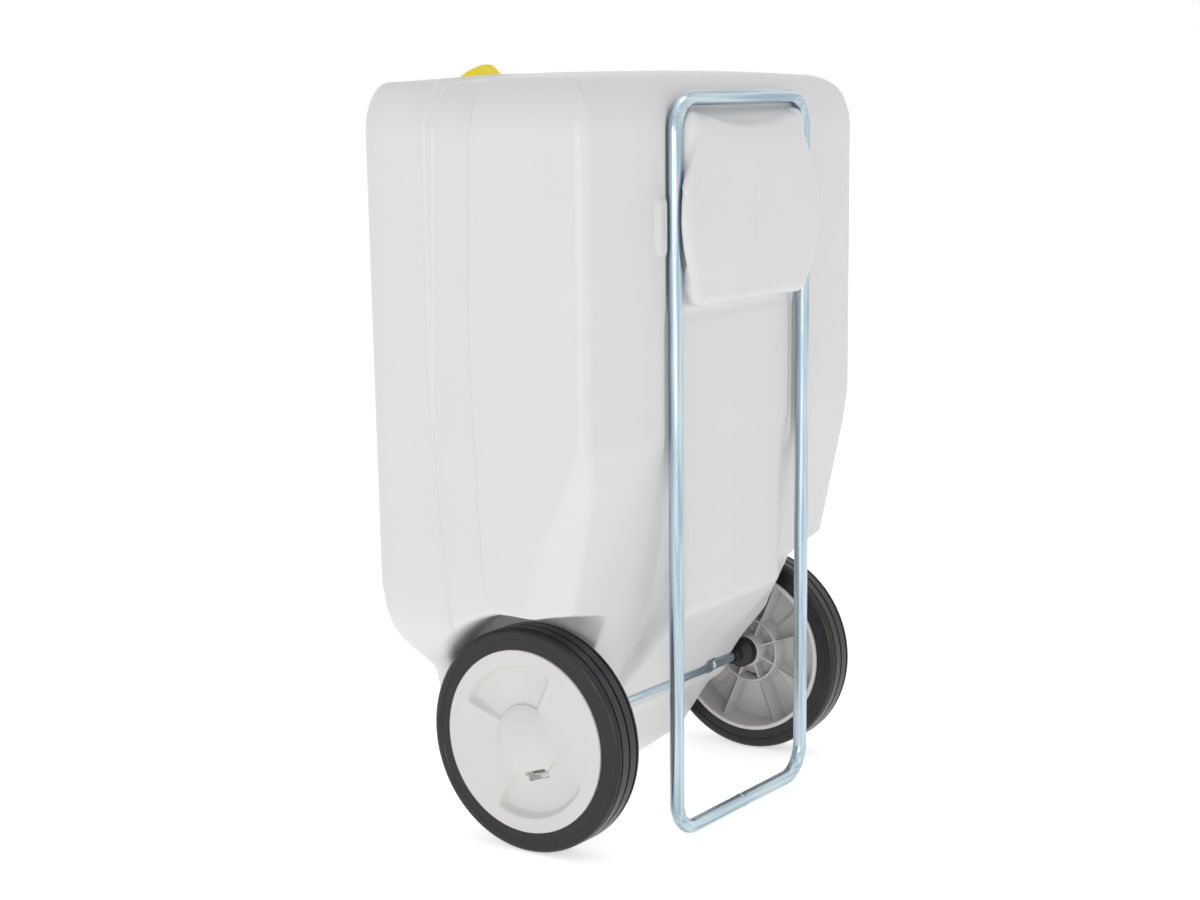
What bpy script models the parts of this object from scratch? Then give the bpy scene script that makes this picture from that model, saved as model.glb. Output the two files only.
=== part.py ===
"""Wheeled waste water tank with a pull-out loop handle.

X runs along the axle, +Y points to the rear, where the loop slides, and Z is up with the
ground at zero. While the pieces are worked out, Y = 0 is the axle. At the end the parent
empty moves everything so that the origin lies under the middle of the whole part.
"""
import math

import bmesh
import bpy
from mathutils import Matrix, Vector

MM = 0.001
FIT = 0.35 * MM          # running or seating gap between two pieces
OVERCUT = 20.0 * MM      # how far a cutter runs past the wall it opens
SLIVER = 0.004 * MM      # edges shorter than this are closed after a Boolean

# Wheel
WHEEL_RADIUS = 110.0 * MM
RIM_RADIUS = 89.7 * MM
WHEEL_GAP = 7.4 * MM           # between the tank's foot and the rim's inboard edge
RIM_WIDTH = 40.5 * MM
RIM_WALL = 4.5 * MM
TYRE_SETBACK = 1.2 * MM        # tyre stops short of the rim's two edges
TYRE_SHOULDER = 7.0 * MM
TREAD_GROOVES = 3
TREAD_GROOVE_WIDTH = 2.6 * MM
TREAD_GROOVE_DEPTH = 2.0 * MM
SIDEWALL_RIDGE_RADIUS = 99.5 * MM
SIDEWALL_RIDGE_HEIGHT = 0.9 * MM
WHEEL_STEPS = 36

# Wheel body, measured along the axle from the rim's inboard edge
FACE_THICKNESS = 3.2 * MM
FACE_DISH = 3.0 * MM
FACE_FLAT = 14.0 * MM          # flat ring inside the rim's edge, before the face dishes
DOME_RADIUS = 31.0 * MM
DOME_WALL = 2.5 * MM
DOME_RISE = 1.4 * MM           # dome's middle, proud of the rim's edge
DOME_EDGE_RISE = 0.8 * MM      # dome's edge, proud of the dished face
DOME_EDGE_SLOPE = 1.5 * MM
DOME_BUTTON_RADIUS = 8.0 * MM
DOME_BUTTON_STEP = 0.6 * MM
HUB_RADIUS = 17.6 * MM
HUB_FLOOR_AT = 24.0 * MM
HUB_FLOOR = 2.5 * MM
MID_RING_RADIUS = 35.0 * MM
MID_RING_AT = 7.0 * MM
RIB_COUNT = 8
RIB_THICKNESS = 2.2 * MM
RIB_AT = 9.0 * MM
POCKET_INNER_RADIUS = 34.5 * MM
POCKET_OUTER_RADIUS = 76.0 * MM
POCKET_DEPTH = 6.5 * MM
POCKET_ARC = math.radians(92)
SLOT_WIDTH = 20.0 * MM
SLOT_HEIGHT = 5.0 * MM
LEFT_WHEEL_TURN = math.radians(289)    # direction of a pocket's middle, from +Y towards +Z
RIGHT_WHEEL_TURN = math.radians(1.5)

# Axle, its bushes and lock springs
AXLE_RADIUS = 6.0 * MM
AXLE_END_PLAY = 3.0 * MM
EAR_X = 108.0 * MM
EAR_LENGTH = 14.0 * MM
EAR_WIDE = 8.0 * MM
EAR_THIN = 4.4 * MM
EAR_FLAT = 0.4                 # share of the ear's length that has its full width
EAR_END_CLEARANCE = 2.0 * MM
EAR_SIDE_CLEARANCE = 1.0 * MM
AXLE_CHAMFER = 1.0 * MM
BUSH_REACH = 28.0 * MM         # how far the bush stands inboard of the rim's edge
BUSH_RADIUS = 16.0 * MM
BUSH_NOSE_RADIUS = 9.0 * MM
BUSH_NOSE_LENGTH = 10.0 * MM
BUSH_BARREL = 10.5 * MM        # full-width stretch next to the rim
BUSH_EDGE = 1.2 * MM
BUSH_CLEARANCE = 2.0 * MM      # between the bush and the tank's groove
BUSH_PLUG_RADIUS = 12.0 * MM
BUSH_PLUG_LENGTH = 13.5 * MM
SPRING_WIRE = 1.6 * MM
SPRING_GROOVE_DEPTH = 1.3 * MM
SPRING_GROOVE_WIDTH = 2.6 * MM
SPRING_REACH = 33.0 * MM       # the two tails, from the axle's middle line
SPRING_BACK = 15.0 * MM        # start of the round end, on the other side
SPRING_KINK = (12.0 * MM, 21.5 * MM)
SPRING_SPREAD = 3.0 * MM       # how far each tail bends away from the axle

# Pull loop
LOOP_TUBE_RADIUS = 7.0 * MM
LOOP_HALF_SPACING = 119.5 * MM
LOOP_BEND_RADIUS = 26.0 * MM
LOOP_LEAN = math.atan(0.01386)
LOOP_Y_AT_GROUND = 105.8 * MM
LOOP_TOP_DROP = 27.4 * MM      # top bar's middle line, below the tank's top
LOOP_GROUND_GAP = 0.5 * MM
LOOP_WALL_GAP = 0.5 * MM       # between the loop and the wall it slides along

# Tank
WALL = 3.5 * MM
TANK_HEIGHT = 742.0 * MM
TANK_HALF_WIDTH = 250.0 * MM
TANK_FRONT = 169.0 * MM        # front wall, ahead of the axle
FRONT_UNDERCUT = 8.0 * MM      # front wall at the axle's height, behind the wall above
CORNER_RADIUS = 38.0 * MM
REAR_CORNER_REACH_X = 44.0 * MM  # the rear corners' rounding: reach along X and Y
REAR_CORNER_REACH_Y = 24.0 * MM
REAR_CORNER_LOW_X = 30.0 * MM  # the same below the crease, where the corners widen
REAR_CORNER_LOW_Y = 34.0 * MM
REAR_CORNER_DROP = 95.0 * MM   # over this drop below the crease
TOP_EDGE_RISE = 50.0 * MM      # the top edge's rounding: height, and reach on each side
TOP_EDGE_SIDE = 36.0 * MM
TOP_EDGE_FRONT = 24.0 * MM
TOP_EDGE_REAR = 40.0 * MM
TOP_CROWN = 7.0 * MM
CROWN_SETBACK = 31.0 * MM      # crown's outline, inside the tank's
CROWN_CORNER = 0.6             # crown's corner radius as a share of its half depth
CROWN_FLAT = 0.25              # share of the crown's width and depth that stays flat
CROWN_TURN = 78.0              # degrees of arc from the crown's rim to its flat top
CROWN_SINK = 1.5 * MM
CREASE_HEIGHT = 397.0 * MM     # the rear wall slopes forward below this height
ROOF_HEIGHT = 232.0 * MM
ROOF_REAR = 68.0 * MM
FOOT_HALF_WIDTH = 177.0 * MM
FOOT_CORNER_RADIUS = 24.0 * MM
FOOT_FRONT_RADIUS = 50.0 * MM   # front corners from the axle's height up
FOOT_SOLE_FRONT = 150.0 * MM
FOOT_SOLE_REAR = 80.0 * MM
FOOT_EDGE = 16.0 * MM          # rounding of the sole's front and rear edges
FOOT_END_EDGE = 46.0 * MM      # flatter rounding of the sole's two ends
FOOT_EDGE_HEIGHT = 30.0 * MM
TAPER_LOW = 145.0 * MM         # the lobes widen out of the foot from here
TAPER_HIGH = 245.0 * MM
FLARE = ((0.12, 0.14), (0.40, 0.62), (0.58, 0.84), (0.78, 0.96))  # shares of rise and reach
WELL_CLEARANCE = 14.0 * MM
WELL_DEPTH = 4.0 * MM          # well's inner wall, inside the foot's side
WELL_ROOF_RISE = 14.0 * MM
LOBE_SINK = 5.0 * MM           # lobe wall, forward of the loop's middle plane
COLUMN_LOW_HALF = 97.0 * MM
COLUMN_HIGH_HALF = 110.0 * MM
COLUMN_NARROW_HEIGHT = 334.0 * MM
COLUMN_FOLD_HEIGHT = 218.0 * MM
COLUMN_EDGE = 14.0 * MM
COLUMN_RISE = 12.0 * MM        # column runs on this far above the crease, inside the body
COLUMN_HEEL = 2.0 * MM         # column starts this far above the axle
COLUMN_ROOT = 83.5 * MM        # hidden front face, ahead of the axle
COLUMN_STEP = 0.2 * MM         # column wall, forward of the field between the grooves
LEG_GROOVE_RADIUS = 10.5 * MM
BAND_FRONT = 79.5 * MM
BAND_REAR = 25.0 * MM
BAND_DEPTH = 2.5 * MM
BAND_LOW = 200.0 * MM
AXLE_LIP = 3.0 * MM            # how far the groove's lips reach round the axle
AXLE_SNAP = 0.92               # groove's mouth as a share of the axle's diameter
MOUTH_TILT = math.radians(32)  # the mouth opens rearwards and down

# Grip pillow that the loop's top bar rests on
PILLOW_LOW = 520.0 * MM
PILLOW_HALF_WIDTH = 107.0 * MM
PILLOW_REAR = 134.0 * MM
PILLOW_ROOT = 60.0 * MM        # hidden front face
PILLOW_EDGE = 14.0 * MM
BULGE_LOW = 547.0 * MM
BULGE_HIGH = 648.0 * MM
BULGE_HALF_WIDTH = 127.0 * MM
BULGE_EDGE = 5.0 * MM
BULGE_STEP = 1.5 * MM          # bulge's face, forward of the pillow's
SCOOP_HALF_WIDTH = 70.0 * MM
SCOOP_DEPTH = 22.0 * MM
SCOOP_SPREAD = 1.3             # cutter's half width over the scoop's
BUMP_LOW = 562.0 * MM
BUMP_HIGH = 628.0 * MM
BUMP_WIDTH = 18.0 * MM
BUMP_HEIGHT = 4.0 * MM
BUMP_SINK = 3.0 * MM
BUMP_EDGE = 2.5 * MM

# Neck, cap and seal, along an axis that leans forward
NECK_TILT = math.radians(45)
CAP_REACH = 50.0 * MM          # middle of the cap's face, ahead of the front wall
CAP_DROP = 12.0 * MM           # and below the tank's top
CAP_RADIUS = 35.0 * MM
CAP_HEIGHT = 22.0 * MM
CAP_TOP = 3.0 * MM
CAP_SKIRT = 3.4 * MM
CAP_RIBS = 32
CAP_RIB_DEPTH = 0.8 * MM
CAP_EDGE = 1.5 * MM            # slope round the outer face, along the axis
CAP_EDGE_INWARD = 2.5 * MM
CAP_COLLAR = 2.5 * MM          # plain ring under the grip ribs
CAP_COLLAR_RISE = 0.2 * MM
SEAL_THICKNESS = 2.0 * MM
SEAL_WIDTH = 7.0 * MM
NECK_RADIUS = 28.5 * MM
NECK_BORE_RADIUS = 24.5 * MM
THREAD_HEIGHT = 1.6 * MM
THREAD_PITCH = 6.0 * MM
THREAD_TURNS = 1.5
THREAD_START = 2.0 * MM        # plain stretch at the neck's rim
THREAD_SINK = 0.5 * MM         # thread's root, inside the neck
THREAD_ROOT = 0.30             # half widths at root and crest, as shares of the pitch
THREAD_CREST = 0.12
NECK_STEPS = 28
BOSS_RADIUS = 40.0 * MM
BOSS_GAP = 1.5 * MM            # between the cap's skirt and the boss
BOSS_SINK = 10.0 * MM          # how far the boss runs on behind the front wall

AXLE_HEIGHT = WHEEL_RADIUS
RIM_INNER_X = FOOT_HALF_WIDTH + WHEEL_GAP
WELL_INNER_X = FOOT_HALF_WIDTH - WELL_DEPTH
CAP_FACE_Y = -TANK_FRONT - CAP_REACH
CAP_FACE_Z = TANK_HEIGHT - CAP_DROP
WELL_RADIUS = WHEEL_RADIUS + WELL_CLEARANCE
LOOP_TILT = math.tan(LOOP_LEAN)


def loop_plane(height):
    """Y of the loop's middle plane at a height."""
    return LOOP_Y_AT_GROUND + LOOP_TILT * height


def lobe_wall(height):
    """Y of the two side lobes' rear wall at a height."""
    return loop_plane(height) - LOBE_SINK


def column_wall(height):
    """Y of the centre column's rear wall, which the loop just clears."""
    return loop_plane(height) - LOOP_TUBE_RADIUS - LOOP_WALL_GAP


def read_profile(points, height):
    """Value at a height on a profile of (height, value) points joined by straight lines."""
    for (low, first), (high, second) in zip(points, points[1:]):
        if height <= high:
            share = max(0.0, (height - low) / (high - low))
            return first + (second - first) * share
    return points[-1][1]


def material(name, colour, roughness, metallic=0.0):
    """A Principled material with one colour."""
    shade = bpy.data.materials.new(name)
    shade.use_nodes = True
    surface = shade.node_tree.nodes["Principled BSDF"]
    surface.inputs["Base Color"].default_value = (*colour, 1.0)
    surface.inputs["Roughness"].default_value = roughness
    surface.inputs["Metallic"].default_value = metallic
    return shade


def add_object(name, shape, shade=None):
    """Turn a bmesh into a named object and free the bmesh."""
    mesh = bpy.data.meshes.new(name)
    bmesh.ops.recalc_face_normals(shape, faces=shape.faces)
    shape.to_mesh(mesh)
    shape.free()
    piece = bpy.data.objects.new(name, mesh)
    bpy.context.collection.objects.link(piece)
    if shade:
        mesh.materials.append(shade)
    return piece


def combine(target, tool, operation):
    """Apply one exact Boolean to the target and remove the tool."""
    change = target.modifiers.new(operation.lower(), "BOOLEAN")
    change.operation = operation
    change.solver = "EXACT"
    change.object = tool
    bpy.context.view_layer.update()
    graph = bpy.context.evaluated_depsgraph_get()
    result = bpy.data.meshes.new_from_object(target.evaluated_get(graph))
    target.modifiers.clear()
    spent = target.data
    target.data = result
    bpy.data.meshes.remove(spent)
    bpy.data.objects.remove(tool)
    tidy_slivers(result)


def tidy_slivers(mesh):
    """Close the hair-thin edges that a Boolean can leave behind."""
    shape = bmesh.new()
    shape.from_mesh(mesh)
    bmesh.ops.remove_doubles(shape, verts=shape.verts, dist=SLIVER)
    bmesh.ops.dissolve_degenerate(shape, edges=shape.edges, dist=SLIVER)
    shape.to_mesh(mesh)
    shape.free()


def smooth(piece, angle=math.radians(35)):
    """Shade round surfaces smooth and keep the sharp edges."""
    piece.data.shade_smooth()
    piece.data.set_sharp_from_angle(angle=angle)


def loft(name, rings):
    """Closed body through rings of equal point counts, lowest ring first."""
    shape = bmesh.new()
    loops = [[shape.verts.new(point) for point in ring] for ring in rings]
    count = len(loops[0])
    for lower, upper in zip(loops, loops[1:]):
        for index in range(count):
            after = (index + 1) % count
            shape.faces.new((lower[index], lower[after], upper[after], upper[index]))
    shape.faces.new(tuple(reversed(loops[0])))
    shape.faces.new(tuple(loops[-1]))
    return add_object(name, shape)


def turned(name, outline, steps, ripple=None):
    """Body turned about X from a closed outline of (along, radius) points.

    ripple(point index, step) gives a change of radius, for ribs round the edge.
    """
    shape = bmesh.new()
    rows = []
    for index, (along, radius) in enumerate(outline):
        if radius <= 0.0:
            rows.append([shape.verts.new((along, 0.0, 0.0))])
            continue
        row = []
        for step in range(steps):
            angle = 2.0 * math.pi * step / steps
            reach = radius + (ripple(index, step) if ripple else 0.0)
            row.append(shape.verts.new((along, reach * math.cos(angle), reach * math.sin(angle))))
        rows.append(row)
    for first, second in zip(rows, rows[1:] + rows[:1]):
        if len(first) == 1 and len(second) == 1:
            continue
        for step in range(steps):
            after = (step + 1) % steps
            corners = [first[step % len(first)], first[after % len(first)],
                       second[after % len(second)], second[step % len(second)]]
            shape.faces.new(list(dict.fromkeys(corners)))
    return add_object(name, shape)


def extruded(name, outline, low, high, axis="X"):
    """Prism of a flat outline, from low to high along X (outline in Y, Z) or Y (X, Z)."""
    shape = bmesh.new()
    if axis == "X":
        corners = [(low, first, second) for first, second in outline]
        travel = Vector((high - low, 0.0, 0.0))
    else:
        corners = [(first, low, second) for first, second in outline]
        travel = Vector((0.0, high - low, 0.0))
    face = shape.faces.new([shape.verts.new(corner) for corner in corners])
    grown = bmesh.ops.extrude_face_region(shape, geom=[face])["geom"]
    moved = [item for item in grown if isinstance(item, bmesh.types.BMVert)]
    bmesh.ops.translate(shape, verts=moved, vec=travel)
    return add_object(name, shape)


def box(name, low, high):
    """Box between two corners."""
    return extruded(name, [(low[1], low[2]), (high[1], low[2]), (high[1], high[2]),
                           (low[1], high[2])], low[0], high[0])


def round_edges(piece, width, steps=3, sharper_than=math.radians(25)):
    """Round every edge of a body that bends more than an angle."""
    shape = bmesh.new()
    shape.from_mesh(piece.data)
    edges = [edge for edge in shape.edges
             if edge.is_manifold and edge.calc_face_angle() > sharper_than]
    bmesh.ops.bevel(shape, geom=edges, offset=width, segments=steps, profile=0.5,
                    affect="EDGES", clamp_overlap=True)
    shape.to_mesh(piece.data)
    shape.free()
    return piece


def shear_to_lean(piece):
    """Lean an upright body with the loop, so that its walls stay parallel to it."""
    for vertex in piece.data.vertices:
        vertex.co.y += LOOP_TILT * vertex.co.z
    return piece


def place(piece, matrix):
    """Move the mesh of a piece by a matrix."""
    piece.data.transform(matrix)
    return piece


def arc(centre, radius, start, end, steps):
    """Points of an arc in a plane, both ends included."""
    return [(centre[0] + radius * math.cos(start + (end - start) * step / steps),
             centre[1] + radius * math.sin(start + (end - start) * step / steps))
            for step in range(steps + 1)]


def plan_ring(half_width, front, rear, front_radius, rear_reach, height):
    """Rounded rectangle in plan at one height, from y = -front to y = rear.

    rear_reach is the rear corners' rounding along X and Y.
    """
    reach_x, reach_y = rear_reach
    front_x = half_width - front_radius
    front_y = front_radius - front
    rear_x = half_width - reach_x
    turns = ((rear_x, rear - reach_y, reach_x, reach_y, 0.0),
             (-rear_x, rear - reach_y, reach_x, reach_y, 0.5 * math.pi),
             (-front_x, front_y, front_radius, front_radius, math.pi),
             (front_x, front_y, front_radius, front_radius, 1.5 * math.pi))
    return [(centre_x + across * x, centre_y + along * y, height)
            for centre_x, centre_y, across, along, start in turns
            for x, y in arc((0.0, 0.0), 1.0, start, start + 0.5 * math.pi, 4)]


def half_width_profile():
    """Half width of the tank against height: foot, flare of the lobes, straight side."""
    rise = TAPER_HIGH - TAPER_LOW
    reach = TANK_HALF_WIDTH - FOOT_HALF_WIDTH
    flare = [(TAPER_LOW + up * rise, FOOT_HALF_WIDTH + out * reach) for up, out in FLARE]
    return [(0.0, FOOT_HALF_WIDTH), (TAPER_LOW, FOOT_HALF_WIDTH), *flare,
            (TAPER_HIGH, TANK_HALF_WIDTH), (TANK_HEIGHT, TANK_HALF_WIDTH)]


def tank_body(name, inset):
    """Main body of the tank, with every wall moved inwards by inset."""
    widths = half_width_profile()
    fronts = [(0.0, FOOT_SOLE_FRONT), (AXLE_HEIGHT, TANK_FRONT - FRONT_UNDERCUT),
              (TAPER_LOW, TANK_FRONT), (TANK_HEIGHT, TANK_FRONT)]
    rears = [(0.0, -FOOT_SOLE_REAR), (AXLE_HEIGHT, AXLE_LIP), (ROOF_HEIGHT, ROOF_REAR),
             (CREASE_HEIGHT, lobe_wall(CREASE_HEIGHT)), (TANK_HEIGHT, lobe_wall(TANK_HEIGHT))]
    radii = [(0.0, FOOT_CORNER_RADIUS), (AXLE_HEIGHT, FOOT_FRONT_RADIUS), (TAPER_LOW, FOOT_FRONT_RADIUS),
             (TAPER_HIGH, CORNER_RADIUS), (TANK_HEIGHT, CORNER_RADIUS)]
    foot_corner = [(0.0, FOOT_CORNER_RADIUS), (TAPER_LOW, FOOT_CORNER_RADIUS)]
    widened = CREASE_HEIGHT - REAR_CORNER_DROP
    rear_x = foot_corner + [(TAPER_HIGH, REAR_CORNER_LOW_X), (widened, REAR_CORNER_LOW_X),
                            (CREASE_HEIGHT, REAR_CORNER_REACH_X)]
    rear_y = foot_corner + [(TAPER_HIGH, REAR_CORNER_LOW_Y), (widened, REAR_CORNER_LOW_Y),
                            (CREASE_HEIGHT, REAR_CORNER_REACH_Y)]

    def ring(level, height, in_x, in_front, in_rear):
        return plan_ring(read_profile(widths, level) - inset - in_x,
                         read_profile(fronts, level) - inset - in_front,
                         read_profile(rears, level) - inset - in_rear,
                         read_profile(radii, level) - inset,
                         (read_profile(rear_x, level) - inset, read_profile(rear_y, level) - inset),
                         height)

    rings = []
    for angle in (0.0, 30.0, 60.0):
        share = 1.0 - math.sin(math.radians(angle))
        height = inset + FOOT_EDGE_HEIGHT * (1.0 - math.cos(math.radians(angle)))
        reach = FOOT_EDGE * share
        rings.append(ring(height, height, FOOT_END_EDGE * share, reach, reach))
    keys = sorted({round(height, 6) for profile in (widths, fronts, rears, radii, rear_x)
                   for height, _ in profile})
    shoulder = TANK_HEIGHT - TOP_CROWN - TOP_EDGE_RISE
    middle = [height for height in keys if FOOT_EDGE_HEIGHT < height < shoulder]
    for height in [FOOT_EDGE_HEIGHT + inset] + middle + [shoulder]:
        rings.append(ring(height, height, 0.0, 0.0, 0.0))
    for angle in (22.5, 45.0, 67.5, 90.0):
        share = 1.0 - math.cos(math.radians(angle))
        height = shoulder + (TOP_EDGE_RISE - inset) * math.sin(math.radians(angle))
        rings.append(ring(shoulder, height, (TOP_EDGE_SIDE - inset) * share,
                          (TOP_EDGE_FRONT - inset) * share, (TOP_EDGE_REAR - inset) * share))
    return loft(name, rings)


def tank_crown(name, inset):
    """Low dome that gives the flat top its slight crown."""
    base = TANK_HEIGHT - TOP_CROWN - inset
    middle_y = 0.5 * (lobe_wall(TANK_HEIGHT) - TANK_FRONT)
    half_depth = 0.5 * (lobe_wall(TANK_HEIGHT) + TANK_FRONT)
    rings = []
    for step in range(4):
        angle = math.radians(CROWN_TURN * step / 3)
        share = CROWN_FLAT + (1.0 - CROWN_FLAT) * math.cos(angle)
        rise = TOP_CROWN * math.sin(angle) / math.sin(math.radians(CROWN_TURN))
        across = (TANK_HALF_WIDTH - CROWN_SETBACK) * share - inset
        along = (half_depth - CROWN_SETBACK) * share - inset
        corner = CROWN_CORNER * along
        height = base - CROWN_SINK + rise * (TOP_CROWN + CROWN_SINK) / TOP_CROWN
        rings.append(plan_ring(across, along - middle_y, along + middle_y, corner,
                               (corner, corner), height))
    return loft(name, rings)


def wheel_well(name, side, inset):
    """Cutter for the space round one wheel: an arch ahead of the axle, a roof behind it."""
    radius = WELL_RADIUS + inset
    rear = LOOP_Y_AT_GROUND + OVERCUT
    front_arc = arc((0.0, AXLE_HEIGHT), radius, math.pi, 0.5 * math.pi, 8)
    outline = [(-radius, -OVERCUT)] + front_arc
    outline += [(rear, AXLE_HEIGHT + radius + WELL_ROOF_RISE), (rear, -OVERCUT)]
    near = WELL_INNER_X - inset
    far = TANK_HALF_WIDTH + OVERCUT
    low, high = (near, far) if side > 0 else (-far, -near)
    return extruded(name, outline, low, high)


def column(name, inset):
    """Centre column below the crease, with its slanted fold down to the axle."""
    top = CREASE_HEIGHT + COLUMN_RISE
    back = -COLUMN_STEP - inset
    side = [(column_wall(top) + back, top - inset),
            (column_wall(COLUMN_FOLD_HEIGHT) + back, COLUMN_FOLD_HEIGHT),
            (AXLE_LIP - inset, AXLE_HEIGHT + COLUMN_HEEL), (-COLUMN_ROOT, AXLE_HEIGHT + COLUMN_HEEL),
            (-COLUMN_ROOT, top - inset)]
    piece = extruded(name, side, -COLUMN_HIGH_HALF + inset, COLUMN_HIGH_HALF - inset)
    narrow = COLUMN_HIGH_HALF - COLUMN_LOW_HALF
    for sign in (-1.0, 1.0):
        outer = sign * (COLUMN_HIGH_HALF + OVERCUT)
        high = sign * (COLUMN_HIGH_HALF - inset)
        low = sign * (COLUMN_HIGH_HALF - narrow - inset)
        outline = [(outer, 0.0), (low, 0.0), (low, COLUMN_NARROW_HEIGHT),
                   (high, CREASE_HEIGHT), (outer, CREASE_HEIGHT)]
        cut = extruded("column_cut", outline, -TANK_FRONT, LOOP_Y_AT_GROUND + OVERCUT, "Y")
        combine(piece, cut, "DIFFERENCE")
    return round_edges(piece, COLUMN_EDGE - inset, 3, math.radians(28))


def pillow(name, inset):
    """Grip pillow: a soft block whose scooped top takes the fingers."""
    top = pillow_top()
    low = (-PILLOW_HALF_WIDTH + inset, PILLOW_ROOT, PILLOW_LOW + inset)
    high = (PILLOW_HALF_WIDTH - inset, PILLOW_REAR - inset, top - inset)
    piece = box(name, low, high)
    round_edges(piece, PILLOW_EDGE - inset, 3)
    radius = (SCOOP_HALF_WIDTH ** 2 + SCOOP_DEPTH ** 2) / (2.0 * SCOOP_DEPTH)
    centre = top - SCOOP_DEPTH + radius
    near = math.asin(SCOOP_HALF_WIDTH * SCOOP_SPREAD / radius)
    outline = arc((0.0, centre), radius + inset, -0.5 * math.pi - near, -0.5 * math.pi + near, 10)
    cut = extruded("scoop", outline, 0.0, PILLOW_REAR + OVERCUT, "Y")
    combine(piece, cut, "DIFFERENCE")
    return piece


def pillow_top():
    """Height of the pillow's top, just under the loop's top bar."""
    return loop_top() - LOOP_TUBE_RADIUS - FIT


def loop_bottom():
    """Height of the loop's lower crossbar's middle line."""
    return LOOP_TUBE_RADIUS + LOOP_GROUND_GAP


def loop_top():
    """Height of the loop's top bar's middle line."""
    return TANK_HEIGHT - LOOP_TOP_DROP


def bulges(name):
    """Side lips of the pillow that reach over the loop's legs and hold them."""
    low_y = loop_plane(BULGE_HIGH) + LOOP_TUBE_RADIUS + LOOP_WALL_GAP
    piece = box(name, (-BULGE_HALF_WIDTH, low_y, BULGE_LOW),
                (BULGE_HALF_WIDTH, PILLOW_REAR - BULGE_STEP, BULGE_HIGH))
    return round_edges(piece, BULGE_EDGE, 2)


def bump(name, side):
    """Low pad on a lobe's inner edge, beside the leg."""
    inner = LOOP_HALF_SPACING + LOOP_TUBE_RADIUS + LOOP_WALL_GAP
    wall = lobe_wall(BUMP_LOW)
    near, far = sorted((side * inner, side * (inner + BUMP_WIDTH)))
    piece = box(name, (near, wall - BUMP_SINK, BUMP_LOW), (far, wall + BUMP_HEIGHT, BUMP_HIGH))
    return round_edges(piece, BUMP_EDGE, 2)


def leg_groove(name, side, inset):
    """Cutter for the channel that one leg of the loop slides in."""
    piece = rod(name, CREASE_HEIGHT - OVERCUT, TANK_HEIGHT + OVERCUT, LEG_GROOVE_RADIUS + inset, 16)
    place(piece, Matrix.Rotation(-0.5 * math.pi, 4, "Y"))
    place(piece, Matrix.Translation((side * LOOP_HALF_SPACING, LOOP_Y_AT_GROUND, 0.0)))
    return shear_to_lean(piece)


def loop_recess(name, inset):
    """Cutter for the shallow field between the grooves that the loop lies in."""
    piece = box(name, (-LOOP_HALF_SPACING, column_wall(0.0) - inset, CREASE_HEIGHT - OVERCUT),
                (LOOP_HALF_SPACING, LOOP_Y_AT_GROUND + OVERCUT, TANK_HEIGHT + OVERCUT))
    return shear_to_lean(piece)


def band_cutter(name, inset):
    """Cutter for the shallow band that runs up each side and over the top."""
    far = TANK_HALF_WIDTH + OVERCUT
    piece = box(name, (-far, -BAND_FRONT - inset, BAND_LOW - inset),
                (far, -BAND_REAR + inset, TANK_HEIGHT + OVERCUT))
    core = tank_body("band_core", BAND_DEPTH + inset)
    crown = tank_crown("band_crown", BAND_DEPTH + inset)
    combine(core, crown, "UNION")
    combine(piece, core, "DIFFERENCE")
    return piece


def axle_groove(name, inset):
    """Cutter for the snap groove across the tank, wider at the ears and at the bushes."""
    reach = FOOT_HALF_WIDTH + OVERCUT
    narrow = AXLE_RADIUS + FIT + inset
    ear_half = 0.5 * EAR_LENGTH + EAR_END_CLEARANCE + inset
    ear_room = EAR_WIDE + EAR_SIDE_CLEARANCE + inset
    bush_start = RIM_INNER_X - BUSH_REACH - BUSH_CLEARANCE - inset
    bush_room = BUSH_RADIUS + BUSH_CLEARANCE + inset
    right = [(EAR_X - ear_half, narrow), (EAR_X - ear_half, ear_room),
             (EAR_X + ear_half, ear_room), (EAR_X + ear_half, narrow),
             (bush_start, narrow), (bush_start, bush_room), (reach, bush_room), (reach, 0.0)]
    left = [(-x, radius) for x, radius in reversed(right)]
    piece = turned(name, left + right, 20)
    mouth = AXLE_SNAP * AXLE_RADIUS + inset
    past = reach + FIT
    slot = box("mouth", (-past, 0.0, -mouth), (past, OVERCUT + bush_room, mouth))
    place(slot, Matrix.Rotation(-MOUTH_TILT, 4, "X"))
    combine(piece, slot, "UNION")
    return place(piece, Matrix.Translation((0.0, 0.0, AXLE_HEIGHT)))


def on_neck(piece):
    """Carry a body turned about X onto the neck's axis, its X pointing into the tank.

    Along the body, zero is the cap's outer face.
    """
    move = Matrix.Translation((0.0, CAP_FACE_Y, CAP_FACE_Z))
    direction = Vector((0.0, math.sin(NECK_TILT), -math.cos(NECK_TILT)))
    turn = Vector((1.0, 0.0, 0.0)).rotation_difference(direction).to_matrix().to_4x4()
    return place(piece, move @ turn)


def neck_start():
    """Distance from the cap's outer face to the neck's rim."""
    return CAP_TOP + SEAL_THICKNESS + 2.0 * FIT


def boss_start():
    """Distance from the cap's outer face to the boss that carries the neck."""
    return CAP_HEIGHT + BOSS_GAP


def boss_end():
    """Distance from the cap's outer face to the boss's end, past the front wall all round."""
    wall = BOSS_SINK - TANK_FRONT
    return (wall - CAP_FACE_Y + BOSS_RADIUS * math.cos(NECK_TILT)) / math.sin(NECK_TILT)


def rod(name, start, end, radius, steps=32):
    """Plain round bar about X."""
    return turned(name, [(start, 0.0), (start, radius), (end, radius), (end, 0.0)], steps)


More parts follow.
